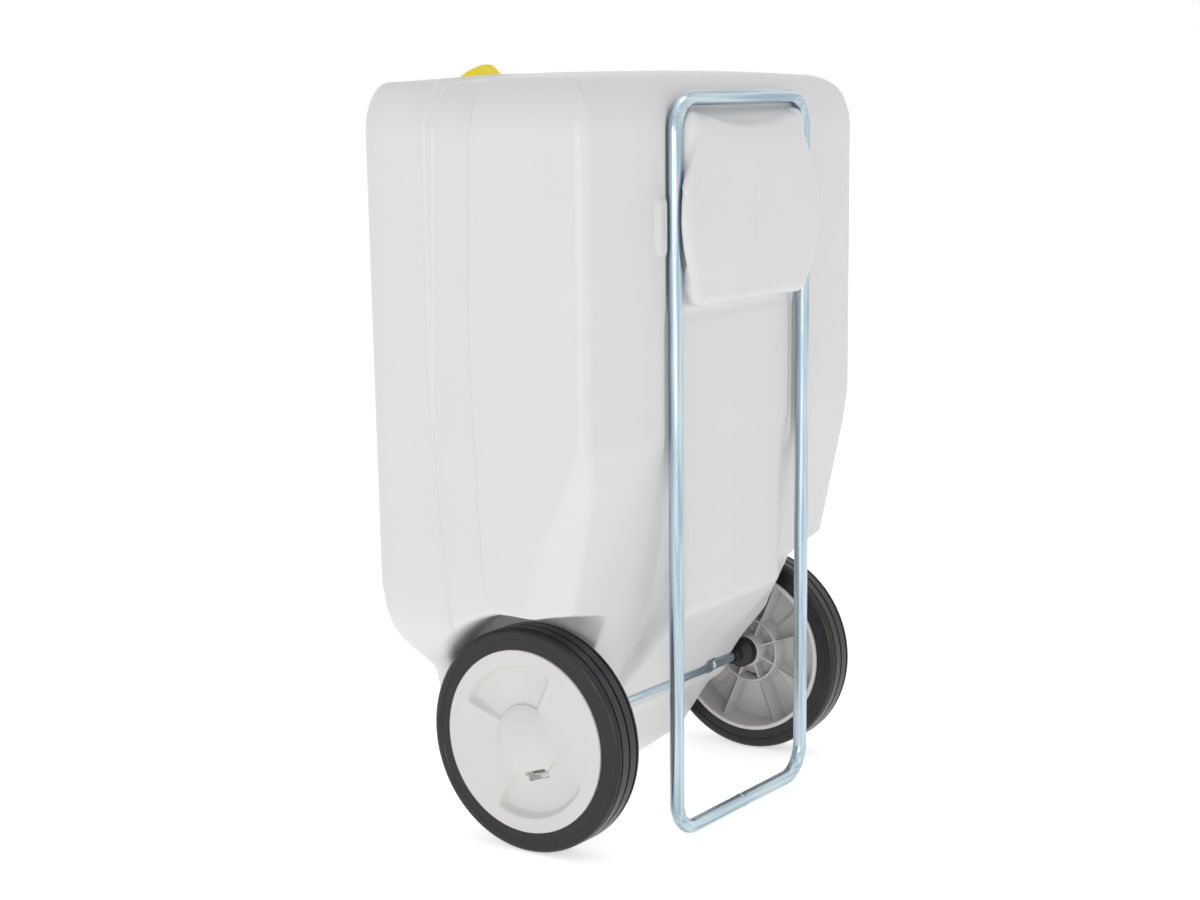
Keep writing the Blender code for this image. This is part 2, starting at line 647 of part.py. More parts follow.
def neck_thread(name):
    """One-start thread on the neck: a ridge of trapezoid section wound up the helix."""
    shape = bmesh.new()
    count = int(NECK_STEPS * THREAD_TURNS)
    root = NECK_RADIUS - THREAD_SINK
    start = neck_start() + THREAD_START + THREAD_ROOT * THREAD_PITCH
    rows = []
    for step in range(count + 1):
        angle = 2.0 * math.pi * (step + 0.5) / NECK_STEPS
        middle = start + THREAD_PITCH * step / NECK_STEPS
        fade = min(1.0, 0.25 + 0.25 * min(step, count - step))
        crest = NECK_RADIUS + THREAD_HEIGHT * fade
        row = []
        for along, radius in ((-THREAD_ROOT, root), (-THREAD_CREST, crest),
                              (THREAD_CREST, crest), (THREAD_ROOT, root)):
            row.append(shape.verts.new((middle + along * THREAD_PITCH,
                                        radius * math.cos(angle), radius * math.sin(angle))))
        rows.append(row)
    for first, second in zip(rows, rows[1:]):
        for index in range(4):
            after = (index + 1) % 4
            shape.faces.new((first[index], first[after], second[after], second[index]))
    shape.faces.new(rows[0])
    shape.faces.new(tuple(reversed(rows[-1])))
    return add_object(name, shape)


def build_tank(shade):
    """Blow-moulded tank: the outer form less the same form moved in by the wall."""
    outer = tank_form(0.0)
    inner = tank_form(WALL)
    combine(outer, inner, "DIFFERENCE")
    hole = rod("hole", 0.0, boss_start() + 2.0 * WALL, 0.5 * (NECK_RADIUS + NECK_BORE_RADIUS))
    combine(outer, on_neck(hole), "DIFFERENCE")
    root = boss_start() + 0.6 * WALL
    neck = turned("neck", [(neck_start(), NECK_BORE_RADIUS), (neck_start(), NECK_RADIUS),
                           (root, NECK_RADIUS), (root, NECK_BORE_RADIUS)], NECK_STEPS)
    combine(neck, neck_thread("thread"), "UNION")
    combine(outer, on_neck(neck), "UNION")
    outer.name = "tank_shell"
    outer.data.name = "tank_shell"
    outer.data.materials.clear()
    outer.data.materials.append(shade)
    smooth(outer)
    return outer


def tank_form(inset):
    """Solid form of the tank, with every wall moved inwards by inset."""
    body = tank_body("form", inset)
    combine(body, tank_crown("crown", inset), "UNION")
    for side in (-1.0, 1.0):
        combine(body, wheel_well("well", side, inset), "DIFFERENCE")
    combine(body, loop_recess("recess", inset), "DIFFERENCE")
    combine(body, column("column", inset), "UNION")
    combine(body, pillow("pillow", inset), "UNION")
    for side in (-1.0, 1.0):
        combine(body, leg_groove("groove", side, inset), "DIFFERENCE")
    combine(body, band_cutter("band", inset), "DIFFERENCE")
    combine(body, axle_groove("axle_groove", inset), "DIFFERENCE")
    boss = rod("boss", boss_start() + inset, boss_end(), BOSS_RADIUS - inset)
    combine(body, on_neck(boss), "UNION")
    if inset == 0.0:
        combine(body, bulges("bulges"), "UNION")
        for side in (-1.0, 1.0):
            combine(body, bump("bump", side), "UNION")
    return body


def build_cap(shade, pivot):
    """Screw cap: a cup with grip ribs, turned about its own axis."""
    inner = CAP_RADIUS - CAP_SKIRT
    collar = CAP_RADIUS + CAP_COLLAR_RISE
    outline = [(0.0, 0.0), (0.0, CAP_RADIUS - CAP_EDGE_INWARD), (CAP_EDGE, CAP_RADIUS),
               (CAP_HEIGHT - CAP_COLLAR - 2.0 * CAP_COLLAR_RISE, CAP_RADIUS),
               (CAP_HEIGHT - CAP_COLLAR, collar), (CAP_HEIGHT, collar), (CAP_HEIGHT, inner),
               (CAP_TOP, inner), (CAP_TOP, 0.0)]
    grip = (2, 3)

    def ripple(index, step):
        return -CAP_RIB_DEPTH if index in grip and step % 2 else 0.0

    cap = turned("screw_cap", outline, 2 * CAP_RIBS, ripple)
    return finish_on_neck(cap, shade, pivot)


def build_seal(shade, pivot):
    """Flat ring seal between the cap's top and the neck's rim."""
    outer = CAP_RADIUS - CAP_SKIRT - FIT
    start = CAP_TOP + FIT
    outline = [(start, outer - SEAL_WIDTH), (start, outer), (start + SEAL_THICKNESS, outer),
               (start + SEAL_THICKNESS, outer - SEAL_WIDTH)]
    seal = turned("cap_seal", outline, 32)
    return finish_on_neck(seal, shade, pivot)


def finish_on_neck(piece, shade, pivot):
    """Hang a turned body on the neck's pivot, its X along the neck's axis into the tank."""
    place(piece, Matrix.Rotation(0.5 * math.pi, 4, "Y"))
    piece.data.materials.append(shade)
    piece.parent = pivot
    smooth(piece)
    return piece


def build_loop(shade):
    """Closed loop of round tube, leaning with the rear wall."""
    curve = bpy.data.curves.new("pull_loop", "CURVE")
    curve.dimensions = "3D"
    curve.bevel_depth = LOOP_TUBE_RADIUS
    curve.bevel_resolution = 4
    curve.use_fill_caps = True
    low = loop_bottom()
    high = loop_top()
    reach = LOOP_HALF_SPACING - LOOP_BEND_RADIUS
    corners = ((reach, high - LOOP_BEND_RADIUS, 0.0), (-reach, high - LOOP_BEND_RADIUS, 0.5 * math.pi),
               (-reach, low + LOOP_BEND_RADIUS, math.pi), (reach, low + LOOP_BEND_RADIUS, 1.5 * math.pi))
    path = [point for x, z, start in corners
            for point in arc((x, z), LOOP_BEND_RADIUS, start, start + 0.5 * math.pi, 6)]
    spline = curve.splines.new("POLY")
    spline.points.add(len(path) - 1)
    for point, (x, z) in zip(spline.points, path):
        point.co = (x, LOOP_TILT * (z - low), z - low, 1.0)
    spline.use_cyclic_u = True
    curve.materials.append(shade)
    loop = bpy.data.objects.new("pull_loop", curve)
    bpy.context.collection.objects.link(loop)
    loop.location = (0.0, loop_plane(low), low)
    return loop


def build_axle(shade):
    """Steel axle with a ring groove at each end and two pressed ears."""
    end = RIM_INNER_X + spring_at() + AXLE_END_PLAY + 0.5 * SPRING_GROOVE_WIDTH
    groove = RIM_INNER_X + spring_at() - 0.5 * SPRING_GROOVE_WIDTH
    neck = AXLE_RADIUS - SPRING_GROOVE_DEPTH
    half_ear = 0.5 * EAR_LENGTH
    right = [(EAR_X - half_ear, AXLE_RADIUS, AXLE_RADIUS),
             (EAR_X - EAR_FLAT * half_ear, EAR_WIDE, EAR_THIN),
             (EAR_X + EAR_FLAT * half_ear, EAR_WIDE, EAR_THIN),
             (EAR_X + half_ear, AXLE_RADIUS, AXLE_RADIUS), (groove, AXLE_RADIUS, AXLE_RADIUS),
             (groove, neck, neck), (groove + SPRING_GROOVE_WIDTH, neck, neck),
             (groove + SPRING_GROOVE_WIDTH, AXLE_RADIUS, AXLE_RADIUS),
             (end - AXLE_CHAMFER, AXLE_RADIUS, AXLE_RADIUS),
             (end, AXLE_RADIUS - AXLE_CHAMFER, AXLE_RADIUS - AXLE_CHAMFER)]
    stations = [(-x, wide, thin) for x, wide, thin in reversed(right)] + right
    steps = 16
    rings = []
    for x, wide, thin in stations:
        ring = []
        for step in range(steps):
            angle = 2.0 * math.pi * step / steps
            ring.append((x, thin * math.sin(angle), wide * math.cos(angle)))
        rings.append(ring)
    axle = loft("axle", rings)
    axle.location = (0.0, 0.0, AXLE_HEIGHT)
    axle.data.materials.append(shade)
    smooth(axle)
    return axle


def spring_at():
    """Middle of the lock spring, along the axle from the rim's inboard edge."""
    return HUB_FLOOR_AT + HUB_FLOOR + FIT + 0.5 * SPRING_WIRE


def sector(name, inner, outer, half_arc, low, high, steps=8):
    """Part of a ring about X, centred on +Y, from low to high along X."""
    outline = arc((0.0, 0.0), outer, -half_arc, half_arc, steps)
    outline += arc((0.0, 0.0), inner, half_arc, -half_arc, steps)
    return extruded(name, outline, low, high)


def disc_outline():
    """Half section of the wheel body as (along, radius) points, round the solid."""
    face = RIM_WIDTH
    dished = face - FACE_DISH
    dome_top = face + DOME_RISE
    dome_edge = dished + DOME_EDGE_RISE
    floor = HUB_FLOOR_AT + HUB_FLOOR
    back = FACE_THICKNESS
    wall_end = RIM_RADIUS - RIM_WALL
    return [(dome_top, 0.0), (dome_top, DOME_BUTTON_RADIUS - DOME_BUTTON_STEP),
            (dome_top - DOME_BUTTON_STEP, DOME_BUTTON_RADIUS), (dome_edge, DOME_RADIUS),
            (dished, DOME_RADIUS + DOME_EDGE_SLOPE), (face, RIM_RADIUS - FACE_FLAT),
            (face, RIM_RADIUS), (0.0, RIM_RADIUS), (0.0, wall_end), (face - back, wall_end),
            (dished - back, DOME_RADIUS), (HUB_FLOOR_AT, DOME_RADIUS), (HUB_FLOOR_AT, HUB_RADIUS),
            (0.0, HUB_RADIUS), (0.0, BUSH_PLUG_RADIUS + FIT),
            (BUSH_PLUG_LENGTH + FIT, BUSH_PLUG_RADIUS + FIT),
            (BUSH_PLUG_LENGTH + FIT, AXLE_RADIUS + FIT), (floor, AXLE_RADIUS + FIT),
            (floor, DOME_RADIUS - DOME_WALL), (dome_edge - DOME_WALL, DOME_RADIUS - DOME_WALL),
            (dome_top - DOME_WALL, DOME_BUTTON_RADIUS), (dome_top - DOME_WALL, 0.0)]


def build_disc():
    """Mesh of the wheel body, its inboard rim edge at X = 0 and a pocket centred on +Y."""
    disc = turned("disc", disc_outline(), WHEEL_STEPS)
    back = RIM_WIDTH - FACE_DISH - FACE_THICKNESS
    ring_in = MID_RING_RADIUS - 0.5 * RIB_THICKNESS
    ring_out = MID_RING_RADIUS + 0.5 * RIB_THICKNESS
    ring_top = back + 0.6 * FACE_THICKNESS
    ring = turned("ring", [(MID_RING_AT, ring_in), (MID_RING_AT, ring_out), (ring_top, ring_out),
                           (ring_top, ring_in)], WHEEL_STEPS)
    combine(disc, ring, "UNION")
    floor_middle = HUB_FLOOR_AT + 0.5 * HUB_FLOOR
    face_middle = back + 0.5 * FACE_THICKNESS
    dome_middle = DOME_RADIUS - 0.5 * DOME_WALL
    rim_middle = RIM_RADIUS - 0.5 * RIM_WALL
    hub_middle = 0.5 * (HUB_RADIUS + BUSH_PLUG_RADIUS + FIT)
    outline = [(RIB_AT, hub_middle), (floor_middle, hub_middle), (floor_middle, dome_middle),
               (face_middle, dome_middle), (face_middle, rim_middle), (RIB_AT, rim_middle)]
    for index in range(RIB_COUNT):
        rib = extruded("rib", outline, -0.5 * RIB_THICKNESS, 0.5 * RIB_THICKNESS, "Y")
        place(rib, Matrix.Rotation(2.0 * math.pi * (index + 0.5) / RIB_COUNT, 4, "X"))
        combine(disc, rib, "UNION")
    wall = FACE_THICKNESS
    for turn in (0.0, math.pi):
        spin = Matrix.Rotation(turn, 4, "X")
        tray = sector("tray", POCKET_INNER_RADIUS - wall, POCKET_OUTER_RADIUS + wall,
                      0.5 * POCKET_ARC + wall / POCKET_OUTER_RADIUS,
                      RIM_WIDTH - POCKET_DEPTH - wall, RIM_WIDTH - FACE_DISH - 0.5 * wall)
        combine(disc, place(tray, spin), "UNION")
        pocket = sector("pocket", POCKET_INNER_RADIUS, POCKET_OUTER_RADIUS, 0.5 * POCKET_ARC,
                        RIM_WIDTH - POCKET_DEPTH, RIM_WIDTH + OVERCUT)
        combine(disc, place(pocket, spin), "DIFFERENCE")
        slot = box("slot", (spring_at() - 0.5 * SLOT_HEIGHT, 0.5 * DOME_RADIUS, -0.5 * SLOT_WIDTH),
                   (RIM_WIDTH - FACE_DISH - DOME_WALL, POCKET_INNER_RADIUS + 3.0 * MM, 0.5 * SLOT_WIDTH))
        combine(disc, place(slot, spin), "DIFFERENCE")
    smooth(disc)
    mesh = disc.data
    bpy.data.objects.remove(disc)
    return mesh


def tyre_outline():
    """Half section of the tyre: bore, ridged sidewalls, round shoulders, grooved tread."""
    low = TYRE_SETBACK
    high = RIM_WIDTH - TYRE_SETBACK
    bore = RIM_RADIUS + FIT
    ridge = SIDEWALL_RIDGE_RADIUS
    pitch = (high - low - 2.0 * TYRE_SHOULDER) / (TREAD_GROOVES - 1)
    side = [(low + SIDEWALL_RIDGE_HEIGHT, bore), (low + SIDEWALL_RIDGE_HEIGHT, ridge),
            (low, ridge + MM), (low, WHEEL_RADIUS - TYRE_SHOULDER),
            (low + 0.3 * TYRE_SHOULDER, WHEEL_RADIUS - 0.3 * TYRE_SHOULDER)]
    tread = []
    for index in range(TREAD_GROOVES):
        middle = low + TYRE_SHOULDER + pitch * index
        half = 0.5 * TREAD_GROOVE_WIDTH
        tread += [(middle - half, WHEEL_RADIUS), (middle - 0.5 * half, WHEEL_RADIUS - TREAD_GROOVE_DEPTH),
                  (middle + 0.5 * half, WHEEL_RADIUS - TREAD_GROOVE_DEPTH),
                  (middle + half, WHEEL_RADIUS)]
    other = [(low + high - along, radius) for along, radius in reversed(side)]
    return side + tread + other


def bush_outline():
    """Half section of the bush: nose, round flare, plug, and the axle's bore through it."""
    bore = AXLE_RADIUS + FIT
    nose_end = BUSH_NOSE_LENGTH - BUSH_REACH
    return [(-BUSH_REACH, bore), (-BUSH_REACH, BUSH_NOSE_RADIUS), (nose_end, BUSH_NOSE_RADIUS),
            (-BUSH_BARREL - BUSH_EDGE, BUSH_RADIUS - BUSH_EDGE), (-BUSH_BARREL, BUSH_RADIUS),
            (-FIT, BUSH_RADIUS), (-FIT, BUSH_PLUG_RADIUS), (BUSH_PLUG_LENGTH, BUSH_PLUG_RADIUS),
            (BUSH_PLUG_LENGTH, bore)]


def build_spring_mesh():
    """Lock spring: a hairpin of round wire whose legs drop into the axle's ring groove."""
    curve = bpy.data.curves.new("lock_spring", "CURVE")
    curve.dimensions = "3D"
    curve.bevel_depth = 0.5 * SPRING_WIRE
    curve.bevel_resolution = 2
    curve.use_fill_caps = True
    offset = AXLE_RADIUS - SPRING_GROOVE_DEPTH + FIT + 0.5 * SPRING_WIRE
    tail = offset + SPRING_SPREAD
    inner_kink, outer_kink = SPRING_KINK
    path = [(SPRING_REACH, -tail), (outer_kink, -tail), (inner_kink, -offset)]
    path += arc((-SPRING_BACK, 0.0), offset, 1.5 * math.pi, 0.5 * math.pi, 6)
    path += [(inner_kink, offset), (outer_kink, tail), (SPRING_REACH, tail)]
    spline = curve.splines.new("POLY")
    spline.points.add(len(path) - 1)
    for point, (along, across) in zip(spline.points, path):
        point.co = (spring_at(), along, across, 1.0)
    holder = bpy.data.objects.new("wire", curve)
    bpy.context.collection.objects.link(holder)
    bpy.context.view_layer.update()
    graph = bpy.context.evaluated_depsgraph_get()
    mesh = bpy.data.meshes.new_from_object(holder.evaluated_get(graph))
    bpy.data.objects.remove(holder)
    return mesh


def build_wheel(side_name, side, turn, disc_mesh, spring_mesh, shades):
    """One wheel on its hub pivot: body, tyre, bush and lock spring."""
    pivot = bpy.data.objects.new(side_name + "_hub", None)
    bpy.context.collection.objects.link(pivot)
    pivot.location = (side * RIM_INNER_X, 0.0, AXLE_HEIGHT)
    flip = 0.0 if side > 0 else math.pi
    pivot.matrix_basis = (Matrix.Translation(pivot.location) @ Matrix.Rotation(flip, 4, "Z")
                          @ Matrix.Rotation(turn, 4, "X"))
    bodies = [(side_name + "_wheel_disc", disc_mesh, "disc"),
              (side_name + "_tyre", turned("tyre", tyre_outline(), WHEEL_STEPS), "tyre"),
              (side_name + "_hub_bush", turned("bush", bush_outline(), 28), "bush"),
              (side_name + "_lock_spring", spring_mesh, "spring")]
    for name, source, shade in bodies:
        if isinstance(source, bpy.types.Mesh):
            piece = bpy.data.objects.new(name, source.copy())
            bpy.context.collection.objects.link(piece)
        else:
            piece = source
            piece.name = name
            smooth(piece)
        piece.data.name = name
        piece.data.materials.clear()
        piece.data.materials.append(shades[shade])
        piece.parent = pivot
    return pivot


def main():
    for item in list(bpy.data.objects):
        bpy.data.objects.remove(item)
    shades = {"tank": material("tank_polyethylene", (0.73, 0.72, 0.72), 0.45),
              "cap": material("cap_yellow", (0.87, 0.68, 0.01), 0.4),
              "seal": material("seal_rubber", (0.03, 0.03, 0.03), 0.7),
              "zinc": material("zinc_steel", (0.40, 0.52, 0.60), 0.3, 1.0),
              "disc": material("wheel_plastic", (0.66, 0.65, 0.64), 0.45),
              "tyre": material("tyre_rubber", (0.03, 0.03, 0.032), 0.6),
              "bush": material("bush_nylon", (0.015, 0.015, 0.018), 0.5),
              "spring": material("spring_wire", (0.72, 0.55, 0.25), 0.3, 1.0)}
    origin = bpy.data.objects.new("tank_origin", None)
    bpy.context.collection.objects.link(origin)

    neck = bpy.data.objects.new("neck_pivot", None)
    bpy.context.collection.objects.link(neck)
    neck.matrix_basis = (Matrix.Translation((0.0, CAP_FACE_Y, CAP_FACE_Z))
                         @ Matrix.Rotation(NECK_TILT, 4, "X"))
    top_pieces = [build_tank(shades["tank"]), build_loop(shades["zinc"]),
                  build_axle(shades["zinc"]), neck]
    build_cap(shades["cap"], neck)
    build_seal(shades["seal"], neck)
    disc_mesh = build_disc()
    spring_mesh = build_spring_mesh()
    for side_name, side, turn in (("left", 1.0, LEFT_WHEEL_TURN), ("right", -1.0, RIGHT_WHEEL_TURN)):
        top_pieces.append(build_wheel(side_name, side, turn, disc_mesh, spring_mesh, shades))

    front = CAP_FACE_Y + CAP_EDGE * math.sin(NECK_TILT) - CAP_RADIUS * math.cos(NECK_TILT)
    origin.location = (0.0, -0.5 * (front + PILLOW_REAR), 0.0)
    for piece in top_pieces:
        piece.parent = origin


main()
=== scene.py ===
# %% [markdown]
# # A wheeled waste water tank with a pull-out loop
#
# The real object is a blow-moulded polyethylene tank that stands on a flat front foot and two
# wheels. A loop of zinc-plated tube slides up its rear wall, and a yellow cap closes a neck at
# the top of the front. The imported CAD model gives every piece's place. Here each piece gets its
# finer shape and its finish.

import bpy
import numpy as np
from mathutils import Matrix, Vector


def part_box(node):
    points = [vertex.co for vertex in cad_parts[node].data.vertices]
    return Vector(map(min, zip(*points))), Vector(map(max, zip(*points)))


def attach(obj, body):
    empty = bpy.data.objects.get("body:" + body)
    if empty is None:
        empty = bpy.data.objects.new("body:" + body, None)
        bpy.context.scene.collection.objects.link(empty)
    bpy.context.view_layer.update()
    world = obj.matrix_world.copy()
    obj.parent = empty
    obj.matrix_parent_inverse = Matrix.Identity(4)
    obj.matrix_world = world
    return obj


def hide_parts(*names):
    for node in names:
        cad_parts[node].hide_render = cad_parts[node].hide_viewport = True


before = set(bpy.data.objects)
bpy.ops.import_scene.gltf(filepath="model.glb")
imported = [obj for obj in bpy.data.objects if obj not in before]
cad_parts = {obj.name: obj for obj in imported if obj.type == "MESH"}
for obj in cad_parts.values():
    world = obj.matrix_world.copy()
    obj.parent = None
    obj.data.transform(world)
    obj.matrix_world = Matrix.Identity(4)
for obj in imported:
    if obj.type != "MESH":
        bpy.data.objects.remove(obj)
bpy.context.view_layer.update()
axle_low, axle_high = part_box("axle")
AXLE_Y = 0.5 * (axle_low.y + axle_high.y)
print("axle lies at y =", round(AXLE_Y, 6), "m")

# %% [markdown]
# ## Millimetres, and meshes from whole arrays
#
# A maker's drawing of this tank would be in millimetres with the axle as its zero line, so all
# shapes below are worked out that way. One helper turns the arrays into a mesh in metres in the
# model's own frame. It takes the normals too where they are known exactly: a wall that is flat
# to a tenth of a millimetre then also shades flat, however its faces are cut.


# %% Mesh helper
MM = 0.001                # metres in a millimetre


def put(name, points, faces, body, shade, stands_for=(), normals=None):
    """Mesh piece from points in millimetres, axle at y = 0, riding on a body."""
    mesh = bpy.data.meshes.new(name)
    placed = np.asarray(points) * MM + (0.0, AXLE_Y, 0.0)
    mesh.from_pydata(placed.tolist(), [], faces if isinstance(faces, list) else faces.tolist())
    mesh.shade_smooth()
    if normals is not None:
        mesh.normals_split_custom_set_from_vertices(normals.tolist())
    mesh.materials.append(shade)
    piece = bpy.data.objects.new(name, mesh)
    bpy.context.collection.objects.link(piece)
    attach(piece, body)
    if stands_for:
        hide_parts(*stands_for)
    corners = len(mesh.loops)
    print(name, "has", corners - 2 * len(mesh.polygons), "triangles")


print("pieces are worked out in millimetres and stored in metres")

# %% [markdown]
# Swept and turned pieces are grids of points. One function lists a grid's faces, closing it round
# where it meets itself and with one flat face at a pole or a cut end. Another rounds the corners
# of a section, with a point just before and after each arc, so that the flats stay flat.


# %% Grids and rounded sections
def grid_faces(rows, columns, ring=False):
    """Faces of a grid wrapped round its columns: a ring closes its rows too, others get ends."""
    row = np.arange(rows if ring else rows - 1)[:, None]
    column = np.arange(columns)[None, :]
    after, right = (row + 1) % rows, (column + 1) % columns
    faces = np.stack([row * columns + column, row * columns + right,
                      after * columns + right, after * columns + column], -1)
    faces = faces.reshape(-1, 4).tolist()
    if not ring:
        faces.append(list(range(columns))[::-1])
        faces.append(list(range((rows - 1) * columns, rows * columns)))
    return faces


def outward(points, faces):
    """Faces turned so that the volume they close in, the sum of a . (b x c) / 6, is positive."""
    quads = np.array([face for face in faces if len(face) == 4])
    a, b, c, d = np.asarray(points)[quads].transpose(1, 0, 2)
    volume = (np.cross(b, c) * a).sum() + (np.cross(c, d) * a).sum()
    return faces if volume > 0.0 else [face[::-1] for face in faces]


def rounded(corners, steps=5, closed=True):
    """Section through (along, radius, rounding) corners, each rounded by an arc of its radius.

    With h half the angle of a corner, its arc starts radius / tan(h) from it, and the arc's centre
    lies radius / sin(h) from it.
    """
    corners = np.array(corners, float)
    spots, radii = corners[:, :2], corners[:, 2]
    parts = []
    for index, (spot, radius) in enumerate(zip(spots, radii)):
        if radius <= 0.0 or (not closed and index in (0, len(spots) - 1)):
            parts.append(spot[None])
            continue
        before = spots[index - 1] - spot
        after = spots[(index + 1) % len(spots)] - spot
        before, after = before / np.linalg.norm(before), after / np.linalg.norm(after)
        half = 0.5 * np.arccos(np.clip(before @ after, -1.0, 1.0))
        reach = radius / np.tan(half)
        middle = before + after
        centre = spot + middle / np.linalg.norm(middle) * radius / np.sin(half)
        start, end = spot + before * reach - centre, spot + after * reach - centre
        share = np.linspace(0.0, 1.0, steps + 1)[:, None]
        turn = np.pi - 2.0 * half
        arc = (np.sin((1.0 - share) * turn) * start + np.sin(share * turn) * end) / np.sin(turn)
        edge = 0.25 * radius
        parts += [(centre + start + before * edge)[None], centre + arc,
                  (centre + end + after * edge)[None]]
    return np.concatenate(parts)


def turned(section, steps, ripple=None, ring=True):
    """Mesh of a section of (along, radius) turned about X: points (along, r cos(a), r sin(a)).

    ripple(along, radius, angle) is added to the radius r. The section is a ring or ends in poles.
    """
    angle = np.arange(steps) * 2.0 * np.pi / steps
    along, radius = np.repeat(section[:, :1], steps, 1), np.repeat(section[:, 1:], steps, 1)
    if ripple:
        radius = radius + ripple(along, radius, angle[None, :])
    points = np.stack([along, radius * np.cos(angle), radius * np.sin(angle)], -1).reshape(-1, 3)
    return points, outward(points, grid_faces(len(section), steps, ring))


def swept(path, side, radii, steps, ring=False):
    """Mesh of a round tube along a flat path, its spokes radius * (out * cos(a) + side * sin(a)).

    side is the normal of the path's plane, and out is square to it and to the path.
    """
    run = np.roll(path, -1, 0) - np.roll(path, 1, 0) if ring else np.gradient(path, axis=0)
    run /= np.linalg.norm(run, axis=1)[:, None]
    out = np.cross(side, run)
    angle = np.arange(steps) * 2.0 * np.pi / steps
    cosine, sine = np.cos(angle)[None, :, None], np.sin(angle)[None, :, None]
    spoke = out[:, None] * cosine + np.asarray(side) * sine
    points = (path[:, None] + spoke * np.asarray(radii)[:, None, None]).reshape(-1, 3)
    return points, outward(points, grid_faces(len(path), steps, ring))


print("a grid of 3 by 4 points has", len(grid_faces(3, 4)), "faces")

# %% [markdown]
# ## Colours and node trees
#
# Colours are written as the sRGB hex values that a picture editor shows, and one function
# turns them into the linear light that Blender works with. A second small function adds a node
# with its settings and links, so that each material below reads as a short recipe. A noise of
# a real size in metres has one over that size as its scale.


# %% Colour and node helpers
def linear(text):
    """sRGB hex colour as linear RGBA: each channel c becomes ((c + 0.055) / 1.055) ** 2.4."""
    channels = np.array([int(text[at:at + 2], 16) for at in (1, 3, 5)]) / 255.0
    low = channels / 12.92
    high = ((channels + 0.055) / 1.055) ** 2.4
    return (*np.where(channels <= 0.04045, low, high).tolist(), 1.0)


def add(tree, kind, values=(), **settings):
    """Add a node; settings are its own fields, values are its sockets' values or links."""
    node = tree.nodes.new(kind)
    for field, value in settings.items():
        setattr(node, field, value)
    for socket, value in dict(values).items():
        if isinstance(value, bpy.types.NodeSocket):
            tree.links.new(value, node.inputs[socket])
        else:
            node.inputs[socket].default_value = value
    return node


def material(name, colour, **sockets):
    """New material, with its tree, its one Principled shader and its object coordinates.

    The colour and values given here are plain ones, and a texture may take a socket over.
    """
    shade = bpy.data.materials.new(name)
    shade.use_nodes = True
    tree = shade.node_tree
    shader = tree.nodes["Principled BSDF"]
    shader.inputs["Base Color"].default_value = linear(colour)
    for socket, value in sockets.items():
        shader.inputs[socket.replace("_", " ")].default_value = value
    where = add(tree, "ShaderNodeTexCoord").outputs["Object"]
    return shade, tree, shader, where


print("middle grey #808080 is", round(linear("#808080")[0], 3), "in linear light")

# %% [markdown]
# ## Tank plastic
#
# The tank is natural white high-density polyethylene, blow-moulded in a sand-blasted mould. It
# scatters light softly, with a dull satin sheen. The blasted mould leaves a fine grain, and
# the wall's uneven cooling leaves long, very shallow waves. Both are noise of a real size:
# about 1.2 mm for the grain, coarser than the real 0.4 mm so that it still shows in the
# picture, and 45 mm for the waves. A third noise varies the tone and the sheen a little.

# %% Polyethylene
polyethylene, tree, shader, where = material(
    "blow_moulded_polyethylene", "#E2E2E2", Roughness=0.42, IOR=1.54)
cloud = add(tree, "ShaderNodeTexNoise", {"Vector": where, "Scale": 14.0, "Detail": 3.0})
tint = add(tree, "ShaderNodeMix", {"Factor": cloud.outputs["Fac"], "A": linear("#DCDCDD"),
                                   "B": linear("#E2E1E0")}, data_type="RGBA")
tree.links.new(tint.outputs["Result"], shader.inputs["Base Color"])
sheen = add(tree, "ShaderNodeMapRange", {"Value": cloud.outputs["Fac"], "From Min": 0.3,
                                         "From Max": 0.7, "To Min": 0.3, "To Max": 0.37})
tree.links.new(sheen.outputs["Result"], shader.inputs["Roughness"])
wave = add(tree, "ShaderNodeTexNoise", {"Vector": where, "Scale": 1.0 / 0.045, "Detail": 1.0})
grain = add(tree, "ShaderNodeTexNoise", {"Vector": where, "Scale": 1.0 / 0.0012, "Detail": 1.0})
broad = add(tree, "ShaderNodeBump", {"Height": wave.outputs["Fac"], "Strength": 0.25,
                                     "Distance": 0.0012})
fine = add(tree, "ShaderNodeBump", {"Height": grain.outputs["Fac"], "Strength": 0.12,
                                    "Distance": 0.0002, "Normal": broad.outputs["Normal"]})
tree.links.new(fine.outputs["Normal"], shader.inputs["Normal"])
print("made", polyethylene.name)

# %% [markdown]
# ## The tank as a field
#
# A blow-moulded tank has hardly one sharp edge: every wall runs into the next through a
# rounding, as the hot plastic stretches over the mould. Cutting boxes from boxes and then
# bevelling them fails where several roundings meet. Here the tank is described as a field
# instead: a number for every point in space, about the distance to the surface in millimetres,
# negative inside. Walls are simple fields, and they are joined with an exact rounding.


# %% Joining fields
def both(a, b, reach_a, reach_b=None):
    """Inside of both fields, their common edge rounded to a quarter of an ellipse.

    With u and v the distances past the start of the rounding, each as a share of its reach,
    the rounded surface is where u * u + v * v = 1. Dividing by the slope of that formula turns
    it back into millimetres.
    """
    reach_b = reach_a if reach_b is None else reach_b
    u = np.maximum(a / reach_a + 1.0, 0.0)
    v = np.maximum(b / reach_b + 1.0, 0.0)
    length = np.sqrt(u * u + v * v)
    slope = np.sqrt((u / reach_a) ** 2 + (v / reach_b) ** 2) / np.maximum(length, 1e-9)
    past = (length - 1.0) / np.maximum(slope, 1e-9)
    return np.where(length > 0.0, past, np.maximum(a, b))


def either(a, b, reach):
    """Inside of either field, with a hollow rounding where they meet."""
    return -both(-a, -b, reach)


def without(a, b, reach):
    """Inside of the first field but not of the second, with a rounded edge."""
    return both(a, -b, reach)


def slab(value, low, high):
    """Field of the space between two values."""
    return np.maximum(low - value, value - high)


